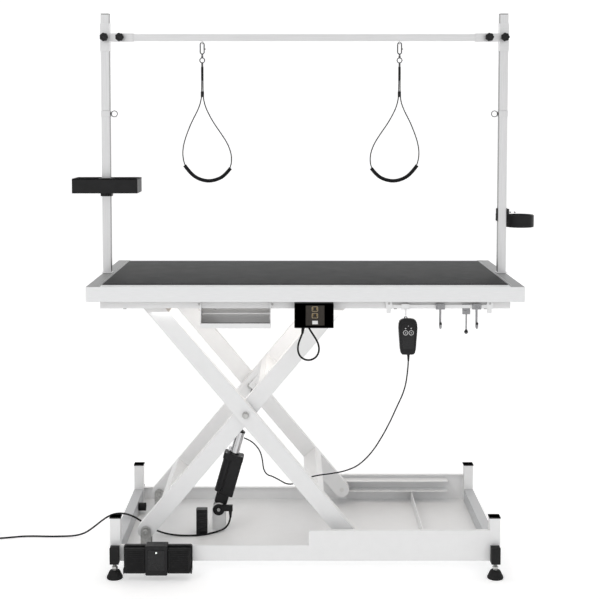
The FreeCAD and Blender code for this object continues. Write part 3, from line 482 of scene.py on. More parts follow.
def add_outline(bm, outline, y0, y1, bevel=0.0, segments=3):
    """A flat outline in X and Z drawn out along Y, with rounded edges."""
    front = [bm.verts.new((x, y0, z)) for x, z in outline]
    back = [bm.verts.new((x, y1, z)) for x, z in outline]
    count = len(outline)
    faces = [bm.faces.new(front), bm.faces.new(list(reversed(back)))]
    for k in range(count):
        faces.append(bm.faces.new((front[k], back[k], back[(k + 1) % count], front[(k + 1) % count])))
    if bevel:
        edges = list({edge for face in faces[:2] for edge in face.edges})
        bmesh.ops.bevel(bm, geom=edges, offset=bevel, segments=segments, profile=0.5, affect="EDGES")


def rounded_outline(x0, x1, z0, z1, radius, steps=6):
    """The corners of a rounded rectangle."""
    points = []
    for cx, cz, start in ((x1 - radius, z1 - radius, 0), (x0 + radius, z1 - radius, 90),
                          (x0 + radius, z0 + radius, 180), (x1 - radius, z0 + radius, 270)):
        for k in range(steps + 1):
            angle = math.radians(start + 90 * k / steps)
            points.append((cx + radius * math.cos(angle), cz + radius * math.sin(angle)))
    return points


def add_sleeve(bm, axis, start, end, outer, inner):
    """A closed sleeve along X, Y or Z between two outlines that have as many points each."""
    rings = []
    for outline, place in ((outer, start), (outer, end), (inner, end), (inner, start)):
        ring = []
        for corner in outline:
            point = list(corner)
            point.insert("XYZ".index(axis), place)
            ring.append(bm.verts.new(point))
        rings.append(ring)
    stitch(bm, rings, closed=True)


# ---- cords --------------------------------------------------------------------------------
def spline_curve(name, points, radius):
    """A smooth NURBS line through control points given in millimetres."""
    curve = bpy.data.curves.new(name, "CURVE")
    curve.dimensions = "3D"
    spline = curve.splines.new("NURBS")
    spline.points.add(len(points) - 1)
    for target, point in zip(spline.points, points):
        target.co = (point[0] * MM, point[1] * MM, point[2] * MM, 1)
    spline.order_u = 3
    spline.use_endpoint_u = True
    spline.resolution_u = CURVE_STEPS
    curve.bevel_depth = radius
    curve.bevel_resolution = 5
    curve.use_fill_caps = True
    made = bpy.data.objects.new(name, curve)
    scene.collection.objects.link(made)
    return made


def centreline(points):
    """The points of the smooth line that a route makes, in metres."""
    bare = spline_curve("centreline", points, 0.0)
    mesh = bpy.data.meshes.new_from_object(bare)
    line = [vert.co.copy() for vert in mesh.vertices]
    bpy.data.objects.remove(bare)
    return line


def line_length(line):
    return sum((b - a).length for a, b in zip(line, line[1:]))


POWER_D = 5.5 * MM
HAND_D = 4.0 * MM
OUTLET_D = 5.5 * MM
NOOSE_D = 3.4 * MM
POWER_X, POWER_Y = -231.0, -31.2
COIL_X, COIL_Y, COIL_R = -1018.5, 62.0, 31.0
COIL_TURN_POINTS = 14
COIL_CLIMB = 0.3        # the share of a turn over which the cord moves to its next lane
ON_FLOOR = 3.2          # height of a cord's centre where it lies on the floor, in millimetres

# The routes are in millimetres.
POWER_ROUTE = [
    (POWER_X, POWER_Y, 112), (POWER_X, POWER_Y, 96), (-233, -32.5, 80), (-240, -36, 66), (-252, -43, 57),
    (-269, -52, 53.5), (-287, -66, 53), (-306, -80, 53), (-340, -89, 53), (-385, -88, 53), (-425, -80, 55),
    (-460, -68, 62), (-493, -54, 76), (-522, -42, 92), (-550, -32, 101), (-582, -22, 102), (-612, -10, 90),
    (-640, 4, 68), (-668, 18, 42), (-698, 32, 18), (-732, 42, 6), (-770, 46, 3.2), (-812, 44, 3.2),
    (-860, 48, 3.2), (-900, 46, 3.2), (-935, 36, 3.2), (-962, 29, 3.2), (-986, 26.3, 3.2)]
HAND_ROUTE = [
    (296, -310, 661), (296, -310, 640), (294, -310, 612), (289, -309, 572), (279, -307, 540),
    (265, -304, 509), (248, -299, 468), (228, -291, 425), (197, -276, 368), (158, -256, 321),
    (117, -233, 297), (74, -212, 283), (38, -196, 274), (4, -186, 262), (-26, -172, 242),
    (-52, -158, 234), (-76, -142, 243), (-98, -126, 250), (-115, -108, 249), (-126, -94, 262),
    (-129, -84, 288), (-136, -70, 311), (-152, -48, 326), (-170, -26, 334), (-188, -14, 338)]
OUTLET_ROUTE = [
    (-5.6, -308, 739), (-8, -308, 722), (-14, -308, 706), (-20, -307.5, 690), (-21.5, -307, 673),
    (-17.3, -306.5, 657.5), (-6, -306, 646.2), (9.5, -305, 642), (25, -304.5, 646.2), (36.3, -304, 657.5),
    (40.5, -303, 673), (38, -302, 689), (30.5, -300, 704), (21, -298, 718), (12, -295, 732), (5, -290, 748),
    (1, -285.5, 766), (-1, -283, 780), (-2, -282.5, 791)]
# One noose cable, from its sleeve round and back: distance towards the table's middle, and height.
LOOP_ROUTE = [
    (1.9, 1452), (1.9, 1431), (2.6, 1403), (6, 1382), (14, 1360), (33, 1324), (57, 1290), (80, 1254),
    (91, 1216), (86, 1182), (68, 1159), (43, 1146), (15, 1141.5), (-14, 1149), (-38, 1166),
    (-56, 1191), (-62.5, 1224), (-59, 1256), (-48, 1290), (-33, 1326), (-16, 1358), (-6.5, 1382),
    (-2.6, 1403), (-1.9, 1431), (-1.9, 1452)]
# The points of the loop that the foam grip covers.
FOAM_FIRST, FOAM_LAST = 9, 15
FOAM_R = 5.5 * MM
NOOSE_X = {"left": -315.0, "right": 293.0}


def coil_points():
    """Eight turns, three side by side and up to three deep, wound clockwise as seen from above."""
    pitch = POWER_D / MM
    points = []
    lanes = [(1, 0), (0, 0), (-1, 0), (-1, 1), (0, 1), (1, 1), (0, 2), (1, 2)]
    total = len(lanes) * COIL_TURN_POINTS + COIL_TURN_POINTS // 4
    for k in range(1, total + 1):
        turn = k / COIL_TURN_POINTS
        index = min(int(turn), len(lanes) - 1)
        following = lanes[min(index + 1, len(lanes) - 1)]
        blend = max(0.0, min(1.0, (turn - index - (1 - COIL_CLIMB)) / COIL_CLIMB))
        lane = lanes[index][0] * (1 - blend) + following[0] * blend
        layer = lanes[index][1] * (1 - blend) + following[1] * blend
        radius = COIL_R + lane * pitch
        angle = -math.pi / 2 - 2 * math.pi * turn
        points.append((COIL_X + radius * math.cos(angle), COIL_Y + radius * math.sin(angle),
                       ON_FLOOR + layer * pitch))
    return points


def taper(name, start, towards, length, wide, narrow, body):
    """A ribbed strain relief along a cord's first stretch."""
    bm = bmesh.new()
    profile = [(0, 0), (wide, 0), (wide, 0.12 * length)]
    ribs = 5
    for k in range(ribs):
        at = 0.16 + 0.8 * k / ribs
        reach = wide + (narrow - wide) * at
        groove = reach * 0.86
        profile += [(reach, at * length), (reach, (at + 0.07) * length),
                    (groove, (at + 0.09) * length), (groove, (at + 0.14) * length)]
    profile += [(narrow, length * 0.98), (narrow * 0.9, length), (0, length)]
    axis = (Vector(towards) - Vector(start)).normalized()
    add_lathe(bm, profile, start, axis, 24)
    return piece(name, bm, CORD, body)


def make_plug():
    bm = bmesh.new()
    low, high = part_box("power_plug")
    body_back = low.y + 38 * MM
    x, z = (low.x + high.x) / 2, (low.z + high.z) / 2
    add_block(bm, (low.x, low.y + 8 * MM, low.z), (high.x, body_back, high.z), 5 * MM, 4)
    relief = mm([(0, 0), (4.2, 0), (4.6, 2), (5.5, 3), (5.5, 5), (4.8, 6), (7, 8), (8.5, 11), (0, 11)])
    add_lathe(bm, relief, (x, low.y, z), (0, 1, 0), 24)
    for k in range(5):
        y = low.y + (14 + 4 * k) * MM
        add_block(bm, (low.x, y, low.z + 6 * MM), (high.x, y + 1.6 * MM, high.z - 0.1 * MM), 0.6 * MM, 1)
    plug = piece("mains_plug", bm, BLACK, "base", replaces=("power_plug",))
    bm = bmesh.new()
    for dx in (-6.5, 6.5):
        pin_x = x + dx * MM
        add_block(bm, (pin_x - 0.8 * MM, body_back - 2 * MM, z - 3.2 * MM),
                  (pin_x + 0.8 * MM, high.y, z + 3.2 * MM), 0.5 * MM, 2)
    return plug, piece("mains_plug_pins", bm, BRASS, "base")


def make_coil_tie():
    bm = bmesh.new()
    angle = math.radians(20)
    centre = Vector((COIL_X + COIL_R * math.cos(angle), COIL_Y + COIL_R * math.sin(angle), 8.55)) * MM
    outer = rounded_outline(-9.2 * MM, 9.2 * MM, -8.3 * MM, 8.6 * MM, 3 * MM, 4)
    inner = rounded_outline(-8.5 * MM, 8.5 * MM, -8.25 * MM, 8.2 * MM, 2.6 * MM, 4)
    add_sleeve(bm, "Y", -4 * MM, 4 * MM, outer, inner)
    place = Matrix.Translation(centre) @ Matrix.Rotation(angle, 4, "Z")
    bmesh.ops.transform(bm, matrix=place, verts=bm.verts)
    return piece("coil_tie", bm, RUBBER, "base")


def make_mains_cord():
    plug_x = COIL_X - COIL_R - POWER_D / MM
    tail = [(plug_x, COIL_Y + 12, 13.5), (plug_x, COIL_Y + 26, 12), (plug_x, COIL_Y + 40, 11.4)]
    route = POWER_ROUTE + coil_points() + tail
    length = line_length(centreline(route))
    power = spline_curve("mains_cord", route, POWER_D / 2)
    power.data.materials.append(CORD)
    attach(power, "base")
    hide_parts("power_cord", "power_coil")

    plug, pins = make_plug()
    tie = make_coil_tie()
    x, y = POWER_X * MM, POWER_Y * MM
    relief = taper("mains_strain_relief", (x, y, 0.1125), (x, y, 0.09), 22 * MM, 5.4 * MM, 3.3 * MM, "base")


def make_hand_cord():
    """This cord is a mesh, made from its smooth line."""
    hand_line = centreline(HAND_ROUTE)
    shape = spline_curve("hand_cord_shape", HAND_ROUTE, HAND_D / 2)
    mesh = bpy.data.meshes.new_from_object(shape)
    bpy.data.objects.remove(shape)
    hand = bpy.data.objects.new("hand_control_cord", mesh)
    scene.collection.objects.link(hand)
    mesh.materials.clear()
    mesh.materials.append(CORD)
    mesh.polygons.foreach_set("use_smooth", [True] * len(mesh.polygons))
    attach(hand, "base")
    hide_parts("hand_cord")
    hand_relief = taper("hand_cord_strain_relief", (0.296, -0.310, 0.6625), (0.296, -0.310, 0.64),
                        22 * MM, 4.2 * MM, 2.4 * MM, "table")
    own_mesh(hand)


def make_socket_cord():
    outlet = spline_curve("socket_cord", OUTLET_ROUTE, OUTLET_D / 2)
    outlet.data.materials.append(CORD)
    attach(outlet, "table")
    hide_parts("outlet_cord")
    start = Vector(OUTLET_ROUTE[0]) * MM
    outlet_relief = taper("socket_cord_strain_relief", start + Vector((0, 0, 0.001)),
                          Vector(OUTLET_ROUTE[1]) * MM, 21 * MM, 5.6 * MM, 3.3 * MM, "table")
    round(line_length(centreline(OUTLET_ROUTE)), 3)


# ---- nooses -------------------------------------------------------------------------------
def make_noose(side):
    middle = NOOSE_X[side]
    sign = 1 if side == "right" else -1
    body = "noose_" + side
    x = middle * MM
    points = [(middle - sign * across, 0, height) for across, height in LOOP_ROUTE]
    cable = spline_curve(body + "_cable", points, NOOSE_D / 2)
    cable.data.materials.append(WIRE)
    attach(cable, body)
    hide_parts(body + "_loop")

    foam = spline_curve(body + "_foam", points[FOAM_FIRST:FOAM_LAST + 1], FOAM_R)
    foam.data.materials.append(FOAM)
    foam.data.bevel_resolution = 7
    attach(foam, body)

    bm = bmesh.new()
    add_block(bm, (x - 5.0 * MM, -3.5 * MM, 1.4015), (x + 5.0 * MM, 3.5 * MM, 1.4195), 2.0 * MM, 4)
    add_lathe(bm, mm([(0, 0), (2.2, 0), (2.2, 0.4), (1.4, 0.7), (0, 0.7)]), (x, -3.4 * MM, 1.4105),
              (0, -1, 0), 20)
    slider = piece(body + "_slider", bm, BLACK_GLOSS, body)

    pivot_z = joint_at[body + "_swing"]["pos_m"][2]
    bm = bmesh.new()
    wire = 1.9 * MM
    ring = 6 * MM
    add_torus(bm, (x, 0, pivot_z), (0, -1, 0), ring, wire, 0, 180, 20)
    low_z = 1.5400
    for dx in (-ring, ring):
        add_lathe(bm, [(wire, 0), (wire, pivot_z - low_z)], (x + dx, 0, low_z), (0, 0, 1), 16)
    add_torus(bm, (x, 0, low_z), (0, -1, 0), ring, wire, 180, 180, 20)
    add_lathe(bm, mm([(0, 0), (3.4, 0), (3.6, 1), (3.2, 5), (2.4, 8), (3.2, 9.5), (2.6, 12), (0, 12.5)]),
              (x, 0, 1.522), (0, 0, 1), 20)
    add_torus(bm, (x, 0, 1.5145), (0, 1, 0), 7.5 * MM, 1.7 * MM)
    add_lathe(bm, mm([(0, 0), (3.1, 0), (3.1, 12), (2.2, 13), (0, 13)]), (x, 0, 1.494), (0, 0, 1), 20)
    add_lathe(bm, mm([(0, 0), (1.5, 0), (1.5, 4), (2.0, 4.6), (0, 5)]), (x + ring + 0.4 * MM, 0, 1.5485),
              (1, 0, 0.2), 14)
    piece(body + "_snap_hook", bm, DARK_CHROME, body, replaces=(body + "_hook",))
    bm = bmesh.new()
    add_lathe(bm, mm([(0, 0), (3.4, 0), (3.9, 1.2), (3.9, 41), (3.3, 43), (0, 43)]), (x, 0, 1.452),
              (0, 0, 1), 24)
    piece(body + "_sleeve", bm, BLACK, body)
    round(line_length(centreline(points)), 3)


# ---- table top ----------------------------------------------------------------------------
def make_top():
    low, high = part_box("rubber_mat")
    bm = bmesh.new()
    add_block(bm, low, high, 2.2 * MM, 4)
    piece("table_mat", bm, MAT_RUBBER, "table", replaces=("rubber_mat",))

    trim_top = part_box("edge_trim")[1].z
    bm = bmesh.new()
    lift = 0.6 * MM
    lip = 5 * MM
    inner_x, inner_y = high.x + 0.5 * MM, high.y + 0.5 * MM
    z0, z1 = trim_top - 0.4 * MM, trim_top + lift
    for y in (-inner_y - lip, inner_y):
        add_block(bm, (-inner_x - lip, y, z0), (inner_x + lip, y + lip, z1), 0.5 * MM, 2)
    for x in (-inner_x - lip, inner_x):
        add_block(bm, (x, -inner_y, z0), (x + lip, inner_y, z1), 0.5 * MM, 2)
    piece("mat_lip", bm, ALUMINIUM, "table")

    bm = bmesh.new()
    for x in (-0.52, -0.26, 0.0, 0.26, 0.52):
        for y in (-0.2825, 0.2825):
            add_hex(bm, (x, y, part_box("under_frame")[0].z), (0, 0, -1), 10 * MM, 4 * MM)
    piece("frame_screws", bm, ZINC, "table")


def make_posts():
    bm = bmesh.new()
    for x in (-POST_X, POST_X):
        add_block(bm, (x - 17 * MM, -17 * MM, 0.8571), (x + 17 * MM, 17 * MM, 0.8595), 1 * MM, 3)
    piece("post_feet", bm, STAINLESS, "table")
    bm = bmesh.new()
    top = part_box("upper_posts")[1].z
    half = 12.6 * MM
    for x in (-POST_X, POST_X):
        add_block(bm, (x - half, -half, top - 3.6 * MM), (x + half, half, top), 1.2 * MM, 3)
    piece("post_caps", bm, BLACK, "upper_frame")


def add_knob(bm, at, radius, depth, lobes=7):
    """A lobed clamp knob that faces the front."""
    steps = 84
    lobe_height = 0.055
    round_below = 0.55
    levels = [(0.0, 0.62), (0.02, 0.80), (0.22, 0.97), (0.5, 1.0), (0.8, 0.97), (0.95, 0.86), (1.0, 0.68),
              (0.97, 0.5), (0.93, 0.0)]
    rings = []
    for share, scale in levels:
        ring = []
        for k in range(steps if scale else 1):
            angle = 2 * math.pi * k / steps
            lobe = 1 + lobe_height * math.cos(lobes * angle) * (1 if scale > round_below else 0)
            reach = radius * scale * lobe / (1 + lobe_height)
            ring.append(bm.verts.new((at[0] + reach * math.cos(angle), at[1] - depth * share,
                                      at[2] + reach * math.sin(angle))))
        rings.append(ring)
    stitch(bm, rings[:-1])
    rim, tip = rings[-2], rings[-1][0]
    for k in range(steps):
        bm.faces.new((rim[k], rim[(k + 1) % steps], tip))
    bm.faces.new(rings[0])


def make_knobs():
    for name in ("knob_post_left", "knob_post_right", "knob_bar_left", "knob_bar_right"):
        low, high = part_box(name)
        x, z = (low.x + high.x) / 2, (low.z + high.z) / 2
        bm = bmesh.new()
        grip_back = low.y + 15 * MM
        add_knob(bm, (x, grip_back, z), 13.5 * MM, 15 * MM)
        add_lathe(bm, mm([(0, 0), (7, 0), (7.6, 4), (9.5, 7.3), (0, 7.6)]), (x, grip_back + 7 * MM, z),
                  (0, -1, 0), 28)
        piece(name + "_grip", bm, BLACK, name + "_body", replaces=(name,))
        bm = bmesh.new()
        add_lathe(bm, mm([(3, 0), (3, 8)]), (x, high.y, z), (0, -1, 0), 20)
        add_lathe(bm, mm([(0, 0), (3.6, 0), (3.6, 0.4), (2.8, 0.8), (0, 0.9)]), (x, low.y + 1.0 * MM, z),
                  (0, -1, 0), 20)
        piece(name + "_stud", bm, BLACK_GLOSS, name + "_body")


# ---- front fittings -----------------------------------------------------------------------
def add_arrow(bm, x, z, half, foot, tip, up, y0, y1):
    """A plain triangle that points up or down; x, z and its reaches are in millimetres."""
    corners = mm([(x - half, z - foot * up), (x + half, z - foot * up), (x, z + tip * up)])
    add_outline(bm, corners if up > 0 else corners[::-1], y0, y1)


def make_hand_control():
    face = -0.322
    button_z = 0.725
    buttons = (("button_up", "up_button", 286.5, 1), ("button_down", "down_button", 302.5, -1))
    shell = mm([(267.5, 750), (267, 740), (268.3, 718), (271.5, 676), (273.5, 666), (278, 661.4),
                (294, 661), (309.5, 661.4), (314, 666), (316, 676), (319.2, 718), (320.5, 740), (320, 750),
                (317, 758), (311, 762.5), (302, 764), (285, 764), (276.5, 762.5), (270.5, 758)])
    bm = bmesh.new()
    add_outline(bm, shell, -0.3214, -0.298, 3.5 * MM, 4)
    piece("hand_control_shell", bm, BLACK, "table", replaces=("hand_control",))
    panel = mm([(276, 748), (275.5, 738), (278.2, 682), (281, 677), (307, 677), (309.8, 682), (312.5, 738),
                (312, 748), (306, 753), (282, 753)])
    bm = bmesh.new()
    add_outline(bm, panel, face, face + 1 * MM, 0.4 * MM, 2)
    piece("hand_control_panel", bm, BLACK_GLOSS, "table")
    bm = bmesh.new()
    add_torus(bm, (0.2875, -0.310, 0.7655), (0, 1, 0), 4.2 * MM, 1.3 * MM)
    add_block(bm, (0.2825, -0.3125, 0.760), (0.2925, -0.3075, 0.7652), 1 * MM, 2)
    piece("hand_control_hanger", bm, BLACK, "table")
    bm = bmesh.new()
    bezel = mm([(5.65, 0), (7.2, 0), (7.2, 0.5), (6.6, 0.8), (5.65, 0.8), (5.65, 0)])
    for _, _, x, _ in buttons:
        add_lathe(bm, bezel, (x * MM, face, button_z), (0, -1, 0), 32)
    piece("button_bezels", bm, MARK, "table")
    cap = mm([(0, 0), (5.2, 0), (5.2, 4.6), (4.6, 5.2), (0, 5.5)])
    for name, body, x, up in buttons:
        low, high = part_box(name)
        bm = bmesh.new()
        add_lathe(bm, cap, (x * MM, high.y, button_z), (0, -1, 0), 32)
        piece(name + "_cap", bm, BLACK_GLOSS, body, replaces=(name,))
        bm = bmesh.new()
        y = low.y - 0.02 * MM
        add_arrow(bm, x, button_z / MM, 2.2, 1.4, 2.2, up, y, y + 0.3 * MM)
        piece(name + "_arrow", bm, MARK, body)
    bm = bmesh.new()
    for _, _, x, up in buttons:
        add_arrow(bm, x, 737.5, 2.6, 1.6, 2.4, up, face - 0.3 * MM, face + 0.1 * MM)
    lamp = mm([(0, 0), (1.1, 0), (1.1, 0.35), (0, 0.5)])
    add_lathe(bm, lamp, (0.2945, face, 0.7445), (0, -1, 0), 16)
    piece("hand_control_marks", bm, MARK, "table")


def make_outlet():
    low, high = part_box("outlet_box")
    middle_x, middle_z = 0.025, 0.775
    bm = bmesh.new()
    cover = rounded_outline(low.x + 1 * MM, high.x - 1 * MM, low.z + 1 * MM, high.z - 1 * MM, 4 * MM)
    hole = rounded_outline(1.2 * MM, 54.8 * MM, 0.7462, 0.8038, 2 * MM)
    front, back = low.y, low.y + 1.2 * MM
    rings = []
    for outline, y, shrink in ((cover, back, 0), (cover, front + 0.5 * MM, 0), (cover, front, 0.4 * MM),
                               (hole, front, 0), (hole, back, 0)):
        rings.append([bm.verts.new((x - math.copysign(shrink, x - middle_x), y,
                                    z - math.copysign(shrink, z - middle_z))) for x, z in outline])
    stitch(bm, rings, closed=True)
    piece("outlet_cover", bm, BLACK, "table")
    bm = bmesh.new()
    for x in (low.x + 7 * MM, high.x - 7 * MM):
        for z in (low.z + 8 * MM, high.z - 8 * MM):
            add_socket_screw(bm, (x, back, z), (0, -1, 0), 2.4 * MM, 1.2 * MM)
    piece("outlet_screws", bm, STEEL, "table")
    bm = bmesh.new()
    for z in (0.775, 0.794):
        for x in (0.022, 0.033):
            add_block(bm, (x - 0.9 * MM, -0.3185, z - 3.6 * MM), (x + 0.9 * MM, -0.3178, z + 3.6 * MM),
                      0.2 * MM, 1)
    piece("outlet_contacts", bm, BRASS, "table")
    bm = bmesh.new()
    for z in (0.7755, 0.7945):
        outer = rounded_outline(18.5 * MM, 36.5 * MM, z - 8.4 * MM, z + 6.6 * MM, 3 * MM, 4)
        inner = rounded_outline(20.3 * MM, 34.7 * MM, z - 6.6 * MM, z + 4.8 * MM, 2 * MM, 4)
        add_sleeve(bm, "Y", -0.3233, -0.3239, outer, inner)
    piece("socket_frames", bm, SOCKET_TAN, "table")


def make_hooks():
    bm = bmesh.new()
    for x in (0.240, 0.529):
        add_socket_screw(bm, (x, -0.308, 0.807), (0, -1, 0), 3.4 * MM, 2.2 * MM)
    piece("rail_screws", bm, ZINC, "table")
    for name in ("hook_2", "hook_3"):
        box_low, box_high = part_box(name)
        bm = bmesh.new()
        x = (box_low.x + box_high.x) / 2
        add_lathe(bm, mm([(3.2, 0), (3.5, 0.6), (3.5, 5), (2.6, 6.6), (0, 7)]), (x, -0.318, 0.7475),
                  (0, 0, 1), 20)
        piece(name + "_tip", bm, BLACK, name + "_body")
    box_low, box_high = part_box("hook_4")
    x = (box_low.x + box_high.x) / 2
    ball = mm([(0, 0), (2.6, 0.4), (4.7, 2.6), (5.7, 5.6), (4.7, 8.8), (2.9, 11), (2.9, 12.6), (0, 12.7)])
    bm = bmesh.new()
    add_lathe(bm, ball, (x, -0.306, box_low.z - 0.2 * MM), (0, 0, 1), 24)
    piece("hook_4_ball", bm, BLACK, "hook_4_body")


def make_tray_details():
    bm = bmesh.new()
    for x in (-0.305, -0.094):
        add_socket_screw(bm, (x, -0.297, 0.803), (0, -1, 0), 3.2 * MM, 2.0 * MM)
    piece("tray_screws", bm, ZINC, "table")
    bm = bmesh.new()
    add_block(bm, (-0.297, -0.3195, 0.7402), (-0.102, -0.249, 0.7418), 0.6 * MM, 2)
    piece("tray_liner", bm, RUBBER, "table")


# ---- post fittings ------------------------------------------------------------------------
def make_tool_tray():
    low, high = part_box("tool_tray")
    bm = bmesh.new()
    for start, end in ((low.x + 3 * MM, -0.6305), (-0.5945, high.x - 3 * MM)):
        for k in range(1, 4):
            x = start + (end - start) * k / 4
            add_block(bm, (x - 0.8 * MM, -0.052, 1.110), (x + 0.8 * MM, 0.052, 1.1475), 0.5 * MM, 1)
    piece("tool_tray_dividers", bm, BLACK, "tray_on_post")
    bm = bmesh.new()
    outer = rounded_outline(low.x, high.x, -0.055, 0.055, 5 * MM)
    inner = rounded_outline(low.x + 2.4 * MM, high.x - 2.4 * MM, -0.0526, 0.0526, 3.4 * MM)
    add_sleeve(bm, "Z", 1.1496, 1.1516, outer, inner)
    piece("tool_tray_rim", bm, BLACK_GLOSS, "tray_on_post")
    bm = bmesh.new()
    add_knob(bm, (-POST_X, -0.0238, 1.1015), 5.4 * MM, 5 * MM, 5)
    piece("tool_tray_screw", bm, BLACK, "tray_on_post")


def make_dryer_holder():
    bm = bmesh.new()
    for z in (1.0025, 1.0355):
        add_torus(bm, (0.668, 0, z), (0, 0, 1), 41.5 * MM, 2.4 * MM, steps=64)
    piece("dryer_ring_beads", bm, BLACK, "dryer_ring")
    bm = bmesh.new()
    add_knob(bm, (0, 0, 0), 8.5 * MM, 9 * MM, 6)
    to_back = Matrix.Translation((POST_X, 0.0172, 1.0465)) @ Matrix.Rotation(math.pi, 4, "Z")
    bmesh.ops.transform(bm, matrix=to_back, verts=bm.verts)
    piece("dryer_clamp_knob", bm, BLACK_GLOSS, "dryer_ring")
    bm = bmesh.new()
    for x in (0.636, 0.650):
        add_socket_screw(bm, (x, -0.017, 1.0465), (0, -1, 0), 2.8 * MM, 1.8 * MM)
    piece("dryer_clamp_screws", bm, STEEL, "dryer_ring")


# ---- base ---------------------------------------------------------------------------------
def make_feet():
    pad = mm([(0, 0), (22.4, 0), (23.4, 1.4), (23.4, 5), (22.6, 7), (19.5, 13), (16.5, 20), (14.2, 23.4),
              (12, 24.2), (0, 24.2)])
    thread = [(0, 22), (5.6, 22)]
    for k in range(18):
        z = 24 + 1.25 * k
        thread += [(5.3, z), (5.95, z + 0.6)]
    thread = mm(thread + [(5.3, 47), (0, 47.2)])
    bm_pad = bmesh.new()
    bm_metal = bmesh.new()
    for x in (-FOOT_X, FOOT_X):
        for y in (-FOOT_Y, FOOT_Y):
            add_lathe(bm_pad, pad, (x, y, 0), (0, 0, 1), 40)
            add_lathe(bm_metal, thread, (x, y, 0), (0, 0, 1), 24)
            add_hex(bm_metal, (x, y, 29 * MM), (0, 0, 1), 15.4 * MM, 7 * MM)
    piece("feet_pads", bm_pad, RUBBER, "feet", replaces=("levelling_feet",))
    piece("feet_stems", bm_metal, ZINC, "feet")


def make_base_details():
    bm = bmesh.new()
    crown, rim = 16.4 * MM, 12.9 * MM
    for x in (-FOOT_X, FOOT_X):
        for sy in (-1, 1):
            y = sy * 0.268
            add_block(bm, (x - crown, y - crown, 0.1718), (x + crown, y + crown, 0.1750), 1.2 * MM, 3)
            y = sy * FOOT_Y
            add_block(bm, (x - rim, y - rim, 0.0905), (x + rim, y + rim, 0.0922), 0.6 * MM, 2)
    piece("cap_crowns", bm, RUBBER, "base")
    bm = bmesh.new()
    for sy in (-1, 1):
        add_socket_screw(bm, (-0.475, sy * 0.2088, 0.106), (0, sy, 0), 8.5 * MM, 4.5 * MM)
    piece("pivot_caps", bm, ZINC, "base")
    bm = bmesh.new()
    centre = joint_at["scissor_cross"]["pos_m"]
    for sy in (-1, 1):
        add_hex(bm, (centre[0], sy * 0.2368, centre[2]), (0, sy, 0), 15 * MM, 5 * MM)
    piece("centre_bolt_heads", bm, ZINC, "inner_arms")


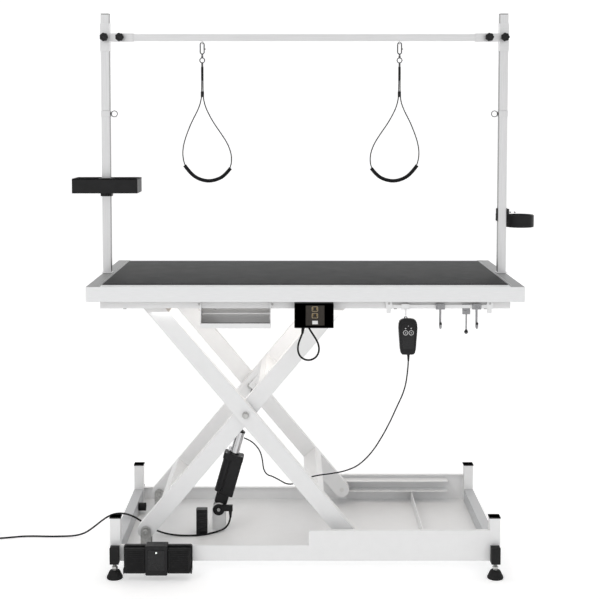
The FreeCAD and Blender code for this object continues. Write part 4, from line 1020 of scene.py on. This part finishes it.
def make_actuator():
    low = joint_at["actuator_swing"]["pos_m"]
    axis = Vector(joint_at["actuator_extend"]["axis"])
    lean = math.atan2(axis.z, axis.x)
    place = Matrix.Translation(Vector(low)) @ Matrix.Rotation(-lean, 4, "Y")
    bm = bmesh.new()
    for k in range(7):
        x = (58 + 14 * k) * MM
        add_block(bm, (x, -22.8 * MM, -30.4 * MM), (x + 6 * MM, 22.8 * MM, -24 * MM), 1.2 * MM, 2)
    for k in range(4):
        y = (-15 + 10 * k) * MM
        add_block(bm, (54 * MM, y - 1.2 * MM, -31.0 * MM), (160 * MM, y + 1.2 * MM, -29 * MM), 0.6 * MM, 1)
    collar = rounded_outline(-24.6 * MM, 24.6 * MM, -31.6 * MM, 31.6 * MM, 6 * MM)
    way_through = rounded_outline(-9 * MM, 9 * MM, -9 * MM, 9 * MM, 3 * MM)
    add_sleeve(bm, "X", 160 * MM, 170 * MM, collar, way_through)
    add_block(bm, (46 * MM, -23 * MM, -31 * MM), (58 * MM, 23 * MM, 16 * MM), 4 * MM, 3)
    add_block(bm, (16 * MM, -19 * MM, -20 * MM), (50 * MM, 19 * MM, 20 * MM), 5 * MM, 3)
    bmesh.ops.transform(bm, matrix=place, verts=bm.verts)
    piece("actuator_ribs", bm, BLACK, "actuator_body")
    bm = bmesh.new()
    washer = mm([(5.2, 0), (17, 0), (18, 1.2), (18, 3.2), (16.5, 4.4), (9, 4.6), (8, 2.6), (5.2, 2.6),
                 (5.2, 0)])
    for sy in (-1, 1):
        add_lathe(bm, washer, (low[0], sy * 25.6 * MM, low[2]), (0, sy, 0), 40)
    piece("actuator_pivot_washers", bm, BLACK, "base")
    bm = bmesh.new()
    for sy in (-1, 1):
        add_hex(bm, (low[0], sy * 29.0 * MM, low[2]), (0, sy, 0), 9 * MM, 3.4 * MM)
    piece("actuator_pivot_bolt", bm, ZINC, "base")
    bm = bmesh.new()
    for y in (-19, 19):
        for z in (-25, 25):
            add_lathe(bm, mm([(0, 0), (2.6, 0), (2.6, 2), (0, 2.4)]), (177.5 * MM, y * MM, z * MM),
                      (1, 0, 0), 18)
    bmesh.ops.transform(bm, matrix=place, verts=bm.verts)
    piece("actuator_screws", bm, STEEL, "actuator_body")
    bm = bmesh.new()
    add_torus(bm, (250 * MM, 0, 0), (1, 0, 0), 11 * MM, 4.6 * MM)
    add_torus(bm, (181 * MM, 0, 0), (1, 0, 0), 14.5 * MM, 1.6 * MM)
    bmesh.ops.transform(bm, matrix=place, verts=bm.verts)
    piece("actuator_wiper", bm, BLACK_GLOSS, "actuator_body")
    bm = bmesh.new()
    left, right, front, foot = -0.335, -0.301, -0.072, 0.050
    for k in range(5):
        z = foot + (12 + 13 * k) * MM
        add_block(bm, (left + 4 * MM, front - 0.8 * MM, z), (right - 4 * MM, front + 0.6 * MM, z + 5 * MM),
                  0.6 * MM, 2)
    piece("control_box_ribs", bm, BLACK_GLOSS, "base")


def make_pedal():
    for name, body in (("treadle_left", "left_treadle"), ("treadle_right", "right_treadle")):
        low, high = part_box(name)
        bm = bmesh.new()
        add_block(bm, low + Vector((0, 1.6 * MM, 0)), high, 3 * MM, 4)
        ribs = 11
        for k in range(ribs):
            z = low.z + 8 * MM + (high.z - low.z - 16 * MM) * k / (ribs - 1)
            add_block(bm, (low.x + 6 * MM, low.y + 0.1 * MM, z - 1.3 * MM),
                      (high.x - 6 * MM, low.y + 2.6 * MM, z + 1.3 * MM), 0.9 * MM, 2)
        piece(name + "_pad", bm, RUBBER, body, replaces=(name,))
    x = -0.430
    bm = bmesh.new()
    add_block(bm, (x - 25 * MM, -0.3236, 0.030), (x + 25 * MM, -0.3222, 0.092), 1.2 * MM, 3)
    piece("pedal_bridge_panel", bm, BLACK_GLOSS, "pedal")
    bm = bmesh.new()
    lens = mm([(0, 0), (2.6, 0), (2.4, 0.8), (1.2, 1.3), (0, 1.4)])
    add_lathe(bm, lens, (x, -0.3235, 0.084), (0, -1, 0), 20)
    piece("pedal_indicator", bm, LED, "pedal")


make_camera()
make_studio()
paint_carried_nodes()
make_mains_cord()
make_hand_cord()
make_socket_cord()
make_noose("left")
make_noose("right")
make_top()
make_posts()
make_knobs()
make_hand_control()
make_outlet()
make_hooks()
make_tray_details()
make_tool_tray()
make_dryer_holder()
make_feet()
make_base_details()
make_actuator()
make_pedal()
